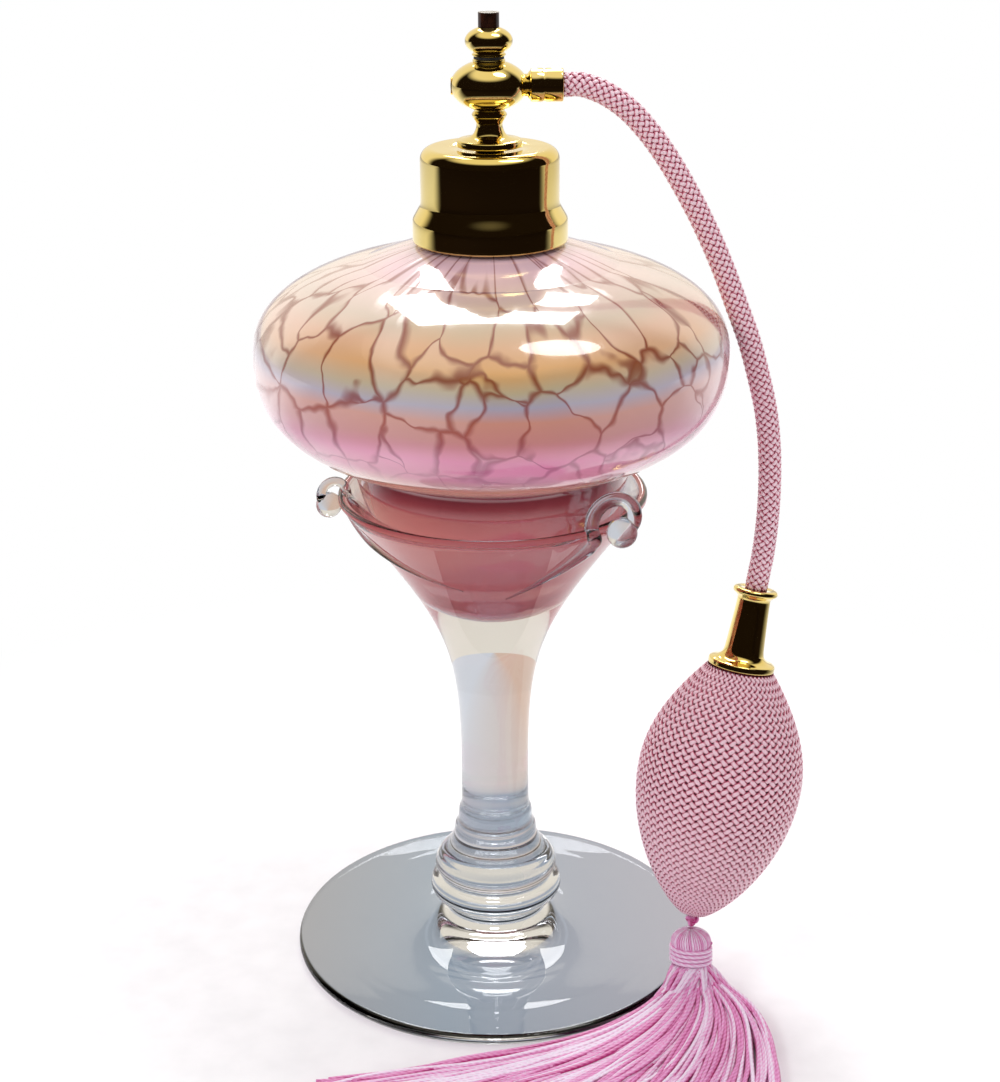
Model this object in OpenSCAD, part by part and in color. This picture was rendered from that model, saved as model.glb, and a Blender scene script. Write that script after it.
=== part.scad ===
// Stemmed perfume bottle with a bulb atomizer.
// Z is up, the origin is the middle of the foot's underside, lengths are in millimetres.
// The hose leaves the head towards +X; the tassel lies on the table in front of the foot, towards -Y.

/* [Foot and knop] */
// Radius of the glass foot
foot_r = 41.4; // [34:0.1:41.4]
// Thickness of the foot at its edge
foot_edge = 2.2; // [1.6:0.1:3]
// Height of the foot where the knop sits on it
foot_rise = 8.5; // [7:0.1:10]
// Radius of the knop's lower ring
knop_low_r = 13.5; // [11.5:0.1:17]
// Radius of the knop's upper ring
knop_top_r = 12.5; // [11:0.1:16]
// Height of the knop
knop_h = 16.5; // [15:0.1:20]

/* [Stem and cup] */
// Radius of the straight part of the stem
stem_r = 6.8; // [5.6:0.1:8.2]
// Height from the knop to the cup's rim
stem_h = 73.5; // [61:0.5:76]
// Radius of the cup's rim
cup_r = 30; // [28.5:0.1:34]
// Thickness of the cup at its rim
cup_lip = 1.8; // [1.2:0.1:2.4]
// Directions of the three curls round the rim
curl_left_at = 184; // [150:1:210]
curl_right_at = 317; // [300:1:345]
curl_back_at = 78; // [50:1:110]

/* [Flask] */
// Greatest radius of the flask
flask_r = 45.1; // [37.5:0.1:45.1]
// Height of the flask's upper half
flask_up = 19.4; // [16:0.1:23]
// Depth of the flask's lower half
flask_down = 22.5; // [18.5:0.1:26]
// Height of the flask's widest circle over the cup's rim
flask_over = 28.4; // [26:0.1:34]
// Radius of the flask's tail where it leaves the round underside
tail_r = 26.5; // [24:0.1:27]
// Depth of the tail below the cup's rim
tail_deep = 21.5; // [16:0.1:24]
// Thickness of the flask's glass
glass_wall = 2.2; // [1.4:0.1:3]

/* [Neck and cap] */
// Radius of the glass neck
neck_r = 9.4; // [8.8:0.1:9.8]
// Radius of the neck's bore
neck_bore_r = 7.4; // [6:0.1:7.8]
// Height of the neck over its ledge
neck_h = 13.25; // [11:0.05:15]
// Radius of the threaded collar on the neck
collar_r = 11; // [10.4:0.1:11.2]
// Radius of the cap's skirt
skirt_r = 14.4; // [13.8:0.1:17]
// Height of the cap's skirt
skirt_h = 4.4; // [3.5:0.1:5.5]
// Radius of the cap's upper part
cap_r = 12.8; // [12.6:0.1:13.6]
// Thickness of the cap's metal
cap_wall = 0.7; // [0.5:0.1:0.8]
// Gap between the cap and the flask's shoulder
cap_gap = 0.4; // [0.3:0.1:1]
// Radial clearance of the thread
thread_clear = 0.06; // [0.03:0.01:0.1]

/* [Seals inside the cap] */
// Thickness of the rubber gasket
gasket_t = 1.5; // [1:0.1:2]
// Radius of the gasket's hole
gasket_hole_r = 4; // [3.8:0.1:4.6]
// Thickness of the swivel plate
plate_t = 1.5; // [1:0.1:2]
// Gap between the swivel plate and the cap's top
plate_gap = 0.3; // [0.2:0.1:0.5]

/* [Head] */
// Radius of the head's flange
flange_r = 6.0; // [5.8:0.1:9]
// Thickness of the flange
flange_t = 1.3; // [1:0.1:1.8]
// Radius of the waist between flange and ball
waist_r = 2.4; // [2.3:0.1:3.2]
// Radius of the big ball
ball_r = 7; // [6.2:0.1:8.4]
// Height of the big ball
ball_h = 9.2; // [8:0.1:11]
// Height of the ball's middle over the flange's underside
ball_over = 10.9; // [10:0.1:13]
// Radius of the shank through the cap
shank_r = 2.6; // [2.4:0.05:2.8]
// Running clearance round the shank
run_clear = 0.05; // [0.03:0.01:0.1]
// Radius of the spigot that the hose leaves
spigot_r = 3; // [2.6:0.1:3.2]
// Distance of the spigot's end from the bottle's axis
spigot_reach = 13.4; // [13.4:0.1:13.4]
// Outside radius of the dip tube
tube_r = 1.5; // [1.2:0.05:1.6]
// Bore radius of the dip tube
tube_bore_r = 0.9; // [0.5:0.05:1]
// Length of dip tube below the neck's mouth
tube_drop = 76; // [60:0.5:77]
// Radius of the finial's ball
finial_r = 4.3; // [3.6:0.1:5.2]
// Height of the finial's ball
finial_h = 5.2; // [4.4:0.1:6.4]
// Radius of the finial's tip
tip_r = 1.9; // [1.5:0.1:2.4]
// Height of the finial's tip
tip_h = 2.6; // [2:0.1:4]

/* [Hose and bulb] */
// Diameter of the braided hose
hose_d = 4.6; // [3.8:0.1:5.5]
// Greatest radius of the bulb in its net
bulb_r = 16.3; // [13.5:0.1:19.6]
// Length of the bulb in its net
bulb_h = 51.2; // [49.5:0.1:51.5]
// Thickness of the net
net_t = 0.7; // [0.5:0.1:1]
// Thickness of the bulb's rubber
rubber_t = 1.6; // [1.2:0.1:2.2]
// Length of the ferrule over the bulb
ferrule_h = 15.9; // [15.9:0.1:15.9]
// Radius of the ferrule's flange
ferrule_flange_r = 6.5; // [6.3:0.1:8]
// Radius of the valve balls
valve_ball_r = 1.4; // [1.1:0.05:1.5]
// Travel of the valve balls
valve_travel = 0.8; // [0.5:0.05:1]

/* [Tassel] */
// Radius of the tassel's head
tassel_r = 4.4; // [3.6:0.1:5.2]
// Height of the tassel's head
tassel_h = 6.2; // [5.2:0.1:7]
// Thickness of the fringe on the table
fringe_t = 3; // [2:0.1:4]
// Number of wraps on the tassel's head
wraps = 3; // [2:1:4]

/* [Hidden] */
$fn = 96;

// Heights from the table up.
knop_z = foot_rise;
stem_z = knop_z + knop_h;
rim_z = stem_z + stem_h;
flask_z = rim_z + flask_over;
tail_z = rim_z - tail_deep;
ledge_z = flask_z + flask_up + 1.95;
mouth_z = ledge_z + neck_h;
gasket_z = mouth_z;
plate_z = gasket_z + gasket_t;
cap_top_z = plate_z + plate_t + plate_gap + cap_wall;
flange_z = cap_top_z + 0.1;
ball_z = flange_z + ball_over;
waist_z = flange_z + 4.3;
head_top_z = ball_z + ball_h / 2 + 0.2;
seal_t = 0.5;
finial_z = head_top_z + seal_t;
finial_ball_z = finial_z + finial_h / 2;
tip_z = finial_z + finial_h - 0.2;
cap_bottom_z = ledge_z - 0.35 + cap_gap;

// Exponents of the flask's two rounded halves: 2 is an ellipse, more is squarer.
flask_up_square = 2.37;
flask_down_square = 2.48;
shoulder_r = 24;
ledge_r = collar_r + 0.9;

// Radius of the cap's rounded top edge.
cap_edge = 2.2;

// Small fixed sizes inside the head.
finial_screw_r = 1.25;
nozzle_r = 1.6;
spigot_neck_r = 2;
spigot_bore_r = 1;
clip_r = 3.8;
clip_t = 0.8;

// The bulb hangs on its own tilted axis: its tail end, its lean from upright and the way it leans.
bulb_tail = [39.2, -19.8, 16.2];
bulb_lean = 14.5;
bulb_heading = 46;
bulb_axis = [sin(bulb_lean) * cos(bulb_heading), sin(bulb_lean) * sin(bulb_heading), cos(bulb_lean)];
hose_end = bulb_tail + (bulb_h + ferrule_h) * bulb_axis;
bulb_tail_r = 1.6;
valve_r = 2.6;
valve_foot = 3;
valve_h = 5;
barb_r = 3.2;
barb_foot = bulb_h - 6;
seat_r = 0.8;
valve_room_h = 2 * valve_ball_r + valve_travel + 0.2;
inlet_room_z = valve_foot + 0.6;
outlet_room_z = bulb_h - 2.5;

// Middle line of the hose, from the spigot down to the ferrule.
hose_points = [
    [spigot_reach, 0, ball_z], [spigot_reach + 3.4, 0, ball_z], [21.2, 0, 174.8], [25.4, 0, 171.8],
    [29.1, 0, 167.8], [32.2, -0.1, 163.6],
    [35, -0.3, 159.1], [38, -0.6, 153.8], [40.8, -1, 148.2], [43.4, -1.4, 142.3], [45.8, -2, 136.1],
    [48.4, -2.6, 129.2], [50.4, -3.2, 122.2], [51.8, -3.9, 116.2], [52.6, -4.6, 110.2], [52.9, -5.3, 104.4],
    [52.9, -5.8, 98.7], [52.6, -6.2, 92.8], [52, -6.7, 87.4], hose_end + 4 * bulb_axis, hose_end
];

// Outline of the fringe where it fans out over the table, round the edge of the foot.
fringe_outline = [
    [41.5, -20.5], [47, -25], [53, -34], [55, -47], [53, -62], [46, -78], [34, -90], [14, -88], [-8, -77],
    [-24, -67], [-37, -60], [-37, -54.5], [-22, -51.8], [-7, -48], [6, -44.5], [17.5, -40], [26.5, -34.2],
    [32.5, -28.4]
];

// ---- helpers ----

// Points of an arc round [r, z] from angle a to angle b.
function arc(c, radius, a, b, n = 10) =
    [for (i = [0:n]) let (t = a + (b - a) * i / n) [c[0] + radius * cos(t), c[1] + radius * sin(t)]];

// Points of a cubic curve with four handles.
function curve(p, q, r, s, n = 16, from = 0, to = 1) =
    [for (i = [0:n]) let (t = from + (to - from) * i / n, u = 1 - t)
        u * u * u * p + 3 * u * u * t * q + 3 * u * t * t * r + t * t * t * s];

// A quarter of a squared ellipse, from its widest point to its end.
function quarter(wide, high, square, z, n = 18, last = 90) =
    [for (i = [0:n]) let (t = last * i / n)
        [wide * pow(cos(t), 2 / square), z + high * pow(sin(t), 2 / square)]];

// Height of a squared ellipse over its middle at radius r.
function dome(r, wide, high, square) = high * pow(1 - pow(r / wide, square), 1 / square);

function reversed(list) = [for (i = [len(list) - 1:-1:0]) list[i]];

function unit(v) = v / norm(v);

// A closed tube of changing radius along points; side gives one direction across it.
module tube_along(points, radii, side, sides = 12) {
    n = len(points);
    ways = [for (i = [0:n - 1]) unit(points[min(i + 1, n - 1)] - points[max(i - 1, 0)])];
    across = [for (i = [0:n - 1]) unit(cross(ways[i], side))];
    up = [for (i = [0:n - 1]) cross(across[i], ways[i])];
    rings = [for (i = [0:n - 1]) for (k = [0:sides - 1])
        let (a = 360 * k / sides) points[i] + radii[i] * (cos(a) * across[i] + sin(a) * up[i])];
    walls = [for (i = [0:n - 2]) for (k = [0:sides - 1])
        let (m = (k + 1) % sides) [i * sides + k, i * sides + m, (i + 1) * sides + m, (i + 1) * sides + k]];
    ends = [
        [for (k = [0:sides - 1]) sides - 1 - k],
        [for (k = [0:sides - 1]) (n - 1) * sides + k]
    ];
    polyhedron(points = rings, faces = concat(walls, ends));
}

// Places its children on the bulb's tilted axis, with the tail end at z = 0.
module on_bulb_axis() {
    translate(bulb_tail) rotate([0, bulb_lean, bulb_heading]) children();
}

// A ring of rectangular section.
module ring(outer, inner, z, h) {
    translate([0, 0, z]) difference() {
        cylinder(r = outer, h = h);
        translate([0, 0, -1]) cylinder(r = inner, h = h + 2);
    }
}

// ---- glass ----

module foot() {
    round = foot_edge / 2;
    color("lightsteelblue", 0.6) rotate_extrude() polygon(concat(
        [[0, 0]],
        arc([foot_r - round, round], round, -90, 90, 8),
        curve([foot_r - 8, foot_edge + 0.2], [24, foot_edge + 1.2], [12, foot_edge + 0.8],
              [knop_low_r - 3.2, foot_rise], 12),
        [[0, foot_rise]]
    ));
}

module knop() {
    low_t = 2.4;
    top_t = 2.1;
    color("lightsteelblue", 0.6) rotate_extrude() polygon(concat(
        [[0, knop_z], [knop_low_r - 3.2, knop_z]],
        arc([knop_low_r - low_t, knop_z + 4.3], low_t, -95, 80, 10),
        arc([knop_top_r - top_t, knop_z + 9.1], top_t, -80, 45, 10),
        curve([knop_top_r - 1, knop_z + 11.4], [knop_top_r - 2.4, knop_z + 13], [stem_r + 2.2, knop_z + 14],
              [stem_r + 1.6, stem_z], 6),
        [[0, stem_z]]
    ));
}

tail_lift = rim_z - 5.5;
tail_top = [tail_r, flask_z - dome(tail_r, flask_r, flask_down, flask_down_square)];
tail_handles = [tail_top, [tail_r + 0.5, tail_lift], [tail_r * 0.45, tail_z], [0, tail_z]];

// The tail's outline from the underside of the flask to its tip; the cup fits the same outline.
tail = curve(tail_handles[0], tail_handles[1], tail_handles[2], tail_handles[3], 18);

module stem_cup() {
    seat_from = 5;
    color("lavenderblush", 0.6) rotate_extrude() polygon(concat(
        [[0, stem_z], [stem_r + 1.6, stem_z], [stem_r + 1.5, stem_z + 1.4], [stem_r + 0.8, stem_z + 2.4],
         [stem_r + 0.7, stem_z + 5], [stem_r + 0.1, stem_z + 6.2]],
        curve([stem_r, stem_z + 18], [stem_r + 0.4, rim_z - 32.5], [stem_r + 2.2, rim_z - 26.5], [cup_r, rim_z], 20),
        arc([cup_r - cup_lip / 2, rim_z + 0.2], cup_lip / 2, 20, 180, 6),
        [for (i = [seat_from:len(tail) - 1]) tail[i]]
    ));
}

// One glass curl: a thread that climbs the cup and rolls outwards into a bead.
// twist turns its plane away from the radius, until the roll lies flat along the rim.
module curl(at, size, bead, twist, out, up) {
    turn = 285;
    steps = 20;
    spiral = [for (i = [0:steps]) let (
        f = i / steps,
        a = 215 - turn * f,
        reach = size * (1.15 - 0.6 * f)
    ) reach * [cos(a), 0, sin(a)]];
    color("rosybrown", 0.7) rotate([0, 0, at]) translate([cup_r + out, 0, rim_z + up]) rotate([0, 0, twist]) {
        tube_along(spiral, [for (i = [0:steps]) size * 0.22], [0, 1, 0], 10);
        translate(spiral[steps]) sphere(r = bead);
    }
}

module curl_left() {
    curl(curl_left_at, 3.2, 2, 30, 1.2, 0.4);
}

module curl_right() {
    curl(curl_right_at, 4.8, 2.5, 62, 1.4, 2);
}

module curl_back() {
    curl(curl_back_at, 3.8, 2.2, 45, 1.4, 0.8);
}

module flask() {
    edge = acos(pow(shoulder_r / flask_r, flask_up_square / 2));
    under = acos(pow(tail_r / flask_r, flask_down_square / 2));
    in_r = flask_r - glass_wall;
    in_under = acos(pow((tail_r - glass_wall) / in_r, flask_down_square / 2));
    in_edge = acos(pow((neck_bore_r + 8) / in_r, flask_up_square / 2));
    color("pink") rotate_extrude() difference() {
        polygon(concat(
            reversed(tail),
            reversed(quarter(flask_r, -flask_down, flask_down_square, flask_z, 18, under)),
            quarter(flask_r, flask_up, flask_up_square, flask_z, 18, edge),
            [[skirt_r, ledge_z - 0.35], [ledge_r, ledge_z], [0, ledge_z]]
        ));
        polygon(concat(
            [[0, tail_z + glass_wall]],
            reversed([for (p = tail) if (p[1] > tail_z + glass_wall + 1 && p[0] > glass_wall * 2)
                p - [glass_wall, 0]]),
            reversed(quarter(in_r, glass_wall - flask_down, flask_down_square, flask_z, 16, in_under)),
            quarter(in_r, flask_up - glass_wall, flask_up_square, flask_z, 16, in_edge),
            [[neck_bore_r, ledge_z - 1.6], [neck_bore_r, ledge_z + 1], [0, ledge_z + 1]]
        ));
    }
}

// ---- neck, cap and seals ----

module neck() {
    color("pink") ring(neck_r, neck_bore_r, ledge_z, neck_h);
}

module neck_collar() {
    color("gold") ring(collar_r, neck_r + 0.03, ledge_z, neck_h - 1);
}

module gasket() {
    color("dimgray") ring(neck_r, gasket_hole_r, gasket_z, gasket_t);
}

module swivel_plate() {
    color("white") ring(neck_r + 0.8, shank_r + run_clear, plate_z, plate_t);
}

module cap_shell() {
    step_z = cap_bottom_z + skirt_h;
    in_z = cap_top_z - cap_wall;
    edge = cap_edge;
    color("gold") rotate_extrude() polygon(concat(
        [[skirt_r - cap_wall, cap_bottom_z], [skirt_r - 0.2, cap_bottom_z], [skirt_r, cap_bottom_z + 0.3],
         [skirt_r, step_z - 0.4], [skirt_r - 0.3, step_z], [cap_r + 0.3, step_z + 1.9], [cap_r, step_z + 2.2]],
        arc([cap_r - edge, cap_top_z - edge], edge, 0, 90, 8),
        [[shank_r + run_clear, cap_top_z], [shank_r + run_clear, in_z]],
        reversed(arc([cap_r - edge, cap_top_z - edge], edge - cap_wall, 0, 90, 8)),
        [[cap_r - cap_wall, step_z + 1.6], [skirt_r - cap_wall, step_z - 0.5]]
    ));
}

module cap_liner() {
    liner_z = cap_bottom_z + skirt_h + 1.6;
    color("white") ring(cap_r - cap_wall, collar_r + thread_clear, liner_z, cap_top_z - cap_edge - liner_z);
}

// ---- head ----

module head() {
    half = ball_h / 2;
    color("gold") difference() {
        rotate_extrude() polygon(concat(
            [[0, flange_z], [flange_r - 0.3, flange_z],
             [flange_r, flange_z + 0.3], [flange_r, flange_z + flange_t - 0.4],
             [flange_r - 0.5, flange_z + flange_t]],
            curve([waist_r + 2, flange_z + flange_t + 0.3], [waist_r + 0.4, flange_z + flange_t + 1],
                  [waist_r, waist_z - 0.8], [waist_r, waist_z], 6),
            [[waist_r + 0.9, waist_z + 1.5]],
            [for (i = [1:15]) let (a = -90 + 180 * i / 16) [ball_r * cos(a), ball_z + half * sin(a)]],
            [[finial_screw_r + 1.8, ball_z + half - 0.4], [finial_screw_r + 1.8, head_top_z], [0, head_top_z]]
        ));
        translate([0, 0, flange_z - 1]) cylinder(r = tube_r + 0.02, h = 3);
        translate([0, 0, flange_z]) cylinder(r = tube_bore_r, h = ball_over);
        translate([0, 0, ball_z]) cylinder(r = finial_screw_r + 0.05, h = ball_h);
        translate([0, 0, ball_z]) rotate([0, 90, 0]) cylinder(r = spigot_neck_r, h = ball_r + 2);
        translate([0, 0, ball_z]) rotate([0, -90, 0]) cylinder(r = 0.6, h = ball_r + 2);
        translate([-ball_r + 2, 0, ball_z]) rotate([0, -90, 0]) cylinder(r = nozzle_r, h = 5);
    }
}

module shank() {
    low_z = mouth_z - 2.5;
    color("goldenrod") ring(shank_r, tube_r + 0.02, low_z, flange_z - low_z);
}

module shank_clip() {
    color("silver") ring(clip_r, shank_r, plate_z - clip_t - 0.1, clip_t);
}

module dip_tube() {
    color("ivory") ring(tube_r, tube_bore_r, mouth_z - tube_drop, flange_z + 2 - mouth_z + tube_drop);
}

module nozzle() {
    color("goldenrod") translate([-ball_r + 2, 0, ball_z]) rotate([0, -90, 0]) difference() {
        cylinder(r = nozzle_r, h = 1.9);
        translate([0, 0, -1]) cylinder(r = 0.3, h = 4);
        translate([0, 0, 1.4]) cylinder(r = 0.9, h = 1);
    }
}

module spigot() {
    from = 4;
    collar = ball_r - 0.4;
    color("gold") translate([0, 0, ball_z]) rotate([0, 90, 0]) difference() {
        union() {
            translate([0, 0, from]) cylinder(r = spigot_neck_r, h = collar - from + 1);
            translate([0, 0, collar + 0.4]) cylinder(r = spigot_r, h = spigot_reach - collar - 0.4);
        }
        translate([0, 0, from - 1]) cylinder(r = spigot_bore_r, h = spigot_reach);
    }
}

module finial_seal() {
    color("dimgray") ring(finial_screw_r + 1.5, finial_screw_r + 0.05, head_top_z, seal_t);
}

module finial() {
    half = finial_h / 2;
    color("gold") rotate_extrude() polygon(concat(
        [[0, finial_z], [finial_screw_r + 1.8, finial_z], [finial_screw_r + 1.8, finial_z + 0.4]],
        [for (i = [2:13]) let (a = -90 + 180 * i / 16) [finial_r * cos(a), finial_ball_z + half * sin(a)]],
        [[tip_r, tip_z], [0, tip_z]]
    ));
}

module finial_screw() {
    color("goldenrod") translate([0, 0, finial_z - 4]) cylinder(r = finial_screw_r, h = 4);
}

module finial_tip() {
    color("saddlebrown") translate([0, 0, tip_z]) cylinder(r = tip_r, h = tip_h);
}

// ---- hose and bulb ----

module air_hose() {
    color("palevioletred") tube_along(hose_points, [for (p = hose_points) hose_d / 2], [0, 1, 0], 12);
}

// Radius of the net at height z over the bulb's tail; it ends just inside the ferrule's flange.
bulb_end = 180 - asin(pow((ferrule_flange_r - 0.1) / bulb_r, 1 / 0.95));
function bulb_radius(z) =
    let (w = 3 + (bulb_end - 3) * z / bulb_h)
    max(bulb_tail_r, bulb_r * pow(sin(w), w < 90 ? 0.76 : 0.95));

// Outline of the net; the rubber inside it follows the same points.
bulb_steps = 24;
bulb_side = [for (i = [0:bulb_steps]) let (z = bulb_h * i / bulb_steps) [bulb_radius(z), z]];

module ferrule() {
    top = bulb_h + ferrule_h;
    color("gold") on_bulb_axis() rotate_extrude() polygon([
        [barb_r, bulb_h], [ferrule_flange_r - 0.3, bulb_h], [ferrule_flange_r, bulb_h + 0.4],
        [ferrule_flange_r, bulb_h + 1.1], [ferrule_flange_r - 0.6, bulb_h + 1.5], [4.6, bulb_h + 1.9],
        [3.9, bulb_h + 2.6], [3.1, top - 1.8], [4.1, top - 1.4], [4.35, top - 1], [4.35, top - 0.4], [4.1, top],
        [1, top], [1, top - 2.4], [2.2, top - 2.4], [2.2, bulb_h + 6], [barb_r, bulb_h + 4]
    ]);
}

module bulb_barb() {
    room = valve_ball_r + 0.15;
    top = bulb_h + 4;
    color("goldenrod") on_bulb_axis() difference() {
        translate([0, 0, barb_foot]) cylinder(r = barb_r, h = top - barb_foot);
        translate([0, 0, barb_foot - 1]) cylinder(r = seat_r, h = top - barb_foot + 2);
        translate([0, 0, outlet_room_z]) cylinder(r = room, h = valve_room_h);
    }
}

module outlet_ball() {
    color("silver") on_bulb_axis() translate([0, 0, outlet_room_z + valve_ball_r + 0.02]) sphere(r = valve_ball_r);
}

module bulb_rubber() {
    inset = net_t + 0.15;
    low = valve_foot;
    hollow_z = valve_foot + valve_h;
    neck_z = bulb_h - 5;
    side = [for (p = bulb_side) if (p[1] > low + 0.5 && p[1] < neck_z) p - [inset, 0]];
    color("rosybrown") on_bulb_axis() rotate_extrude() polygon(concat(
        [[valve_r, low]], side,
        [[ferrule_flange_r - 1.1, bulb_h - 0.1], [barb_r, bulb_h - 0.1], [barb_r, neck_z]],
        reversed([for (p = side) if (p[1] > hollow_z && p[1] < neck_z - 1 && p[0] - rubber_t > barb_r)
            [p[0] - rubber_t, p[1]]]),
        [[valve_r, hollow_z]]
    ));
}

module bulb_net() {
    color("palevioletred") on_bulb_axis() rotate_extrude() polygon(concat(
        [[0, 0]], bulb_side,
        reversed([for (p = bulb_side) if (p[1] >= valve_foot) p - [net_t, 0]]),
        [[valve_r, valve_foot - 0.1], [0, valve_foot - 0.1]]
    ));
}

module inlet_valve() {
    room = valve_ball_r + 0.15;
    color("goldenrod") on_bulb_axis() difference() {
        translate([0, 0, valve_foot]) cylinder(r = valve_r, h = valve_h);
        translate([0, 0, valve_foot - 1]) cylinder(r = seat_r, h = valve_h + 2);
        translate([0, 0, inlet_room_z]) cylinder(r = room, h = valve_room_h);
    }
}

module inlet_ball() {
    color("silver") on_bulb_axis() translate([0, 0, inlet_room_z + valve_ball_r + 0.02]) sphere(r = valve_ball_r);
}

// ---- tassel ----

knot_r = 1.5;
tassel_top = bulb_tail + [-0.3, -0.6, -2 * knot_r - 0.1];
tassel_lean = 12;

// Places its children on the tassel's own axis, hanging down from its knot and leaning to the front.
module on_tassel_axis() {
    translate(tassel_top) rotate([-tassel_lean, 0, 0]) children();
}

module hanging_knot() {
    color("palevioletred") translate(bulb_tail + [-0.1, -0.2, -knot_r]) sphere(r = knot_r);
}

module tassel_head() {
    color("pink") on_tassel_axis() rotate_extrude() polygon(concat(
        [[0, -tassel_h - 1.2], [tassel_r - 0.2, -tassel_h - 1.2], [tassel_r - 0.7, -tassel_h + 0.4],
         [tassel_r - 0.7, -2.4]],
        arc([tassel_r - 2.7, -2.6], 2, 10, 85, 5),
        [[0, -0.6]]
    ));
}

module tassel_wraps() {
    color("hotpink") on_tassel_axis() for (i = [0:wraps - 1]) {
        ring(tassel_r, tassel_r - 0.7, -2.5 - 1.1 * (i + 1), 1);
    }
}

module tassel_fringe() {
    fall = 5;
    color("pink") difference() {
        union() {
            linear_extrude(fringe_t) polygon(fringe_outline);
            on_tassel_axis() translate([0, 0, -tassel_h - 1.2 - fall])
                cylinder(r1 = tassel_r + 1, r2 = tassel_r - 0.8, h = fall);
        }
        // Nothing hangs over the foot, so that the fringe keeps clear of its edge.
        translate([0, 0, -1]) cylinder(r = foot_r + 0.6, h = 14);
    }
}

foot();
knop();
stem_cup();
curl_left();
curl_right();
curl_back();
flask();
neck();
neck_collar();
gasket();
swivel_plate();
cap_shell();
cap_liner();
head();
shank();
shank_clip();
dip_tube();
nozzle();
spigot();
finial_seal();
finial();
finial_screw();
finial_tip();
air_hose();
ferrule();
bulb_barb();
outlet_ball();
bulb_rubber();
bulb_net();
inlet_valve();
inlet_ball();
hanging_knot();
tassel_head();
tassel_wraps();
tassel_fringe();
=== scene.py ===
# %% [markdown]
# # A stemmed perfume bottle with a bulb atomizer
# The bottle is four crafts in one: clear glass worked at the furnace, a flask of pink lustred glass, turned
# and gold-plated brass, and silk and rayon thread that is braided, netted and hung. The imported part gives
# every place and size; this script gives the surfaces. Lengths are in millimetres until the last step of each
# piece.

import math

import bmesh
import bpy
import numpy as np
from mathutils import Matrix


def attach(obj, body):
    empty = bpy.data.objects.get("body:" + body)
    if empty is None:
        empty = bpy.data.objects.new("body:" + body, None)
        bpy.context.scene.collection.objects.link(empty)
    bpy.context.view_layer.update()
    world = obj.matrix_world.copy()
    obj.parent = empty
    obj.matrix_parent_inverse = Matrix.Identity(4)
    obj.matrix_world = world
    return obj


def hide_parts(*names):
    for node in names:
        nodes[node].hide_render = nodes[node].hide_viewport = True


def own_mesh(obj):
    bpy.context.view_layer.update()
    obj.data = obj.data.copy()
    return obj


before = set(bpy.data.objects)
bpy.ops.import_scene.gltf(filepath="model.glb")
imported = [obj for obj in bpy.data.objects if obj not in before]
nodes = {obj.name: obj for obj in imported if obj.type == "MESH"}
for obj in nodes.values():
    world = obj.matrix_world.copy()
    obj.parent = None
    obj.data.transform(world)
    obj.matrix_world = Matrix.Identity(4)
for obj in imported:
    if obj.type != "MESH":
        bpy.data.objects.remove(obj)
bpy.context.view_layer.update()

# %% [markdown]
# The camera stands above the bottle's middle and looks down on it by about 21 degrees, with a long lens. A
# small turn about its own line of sight gives the slight lean of a camera held by hand.

# %% Camera
lens = bpy.data.cameras.new("camera")
lens.lens = 67.8
lens.sensor_fit = "VERTICAL"
lens.sensor_height = 36
lens.clip_start = 0.01
camera = bpy.data.objects.new("camera", lens)
bpy.context.scene.collection.objects.link(camera)
turns = [(-0.21, "Z"), (90 - 21.1, "X"), (-0.42, "Z")]
aim = Matrix.Identity(3)
for degrees, axis in turns:
    aim = aim @ Matrix.Rotation(math.radians(degrees), 3, axis)
camera.matrix_world = Matrix.Translation((0, -0.3723, 0.2321)) @ aim.to_4x4()
bpy.context.scene.camera = camera
print("camera at", [round(v, 3) for v in camera.location])

# %% [markdown]
# Every new piece is a grid of points worked out with numpy. One tool numbers the faces of a grid. Another puts
# points and faces into a mesh, merges the points that meet, and turns the faces outwards. The rest draw an
# outline from arcs and curves and turn it round an axis, as a lathe does.

# %% Mesh tools
MM = 0.001


def grid_faces(rows, columns, loop_rows=False, loop_columns=False):
    """Corners of a grid's faces: point (i, j) has the number i * columns + j; a loop joins end to start."""
    i = np.arange(rows if loop_rows else rows - 1)[:, None]
    j = np.arange(columns if loop_columns else columns - 1)[None, :]
    i2, j2 = (i + 1) % rows, (j + 1) % columns
    return np.stack(np.broadcast_arrays(i * columns + j, i * columns + j2, i2 * columns + j2, i2 * columns + j),
                    -1).reshape(-1, 4)


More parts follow.
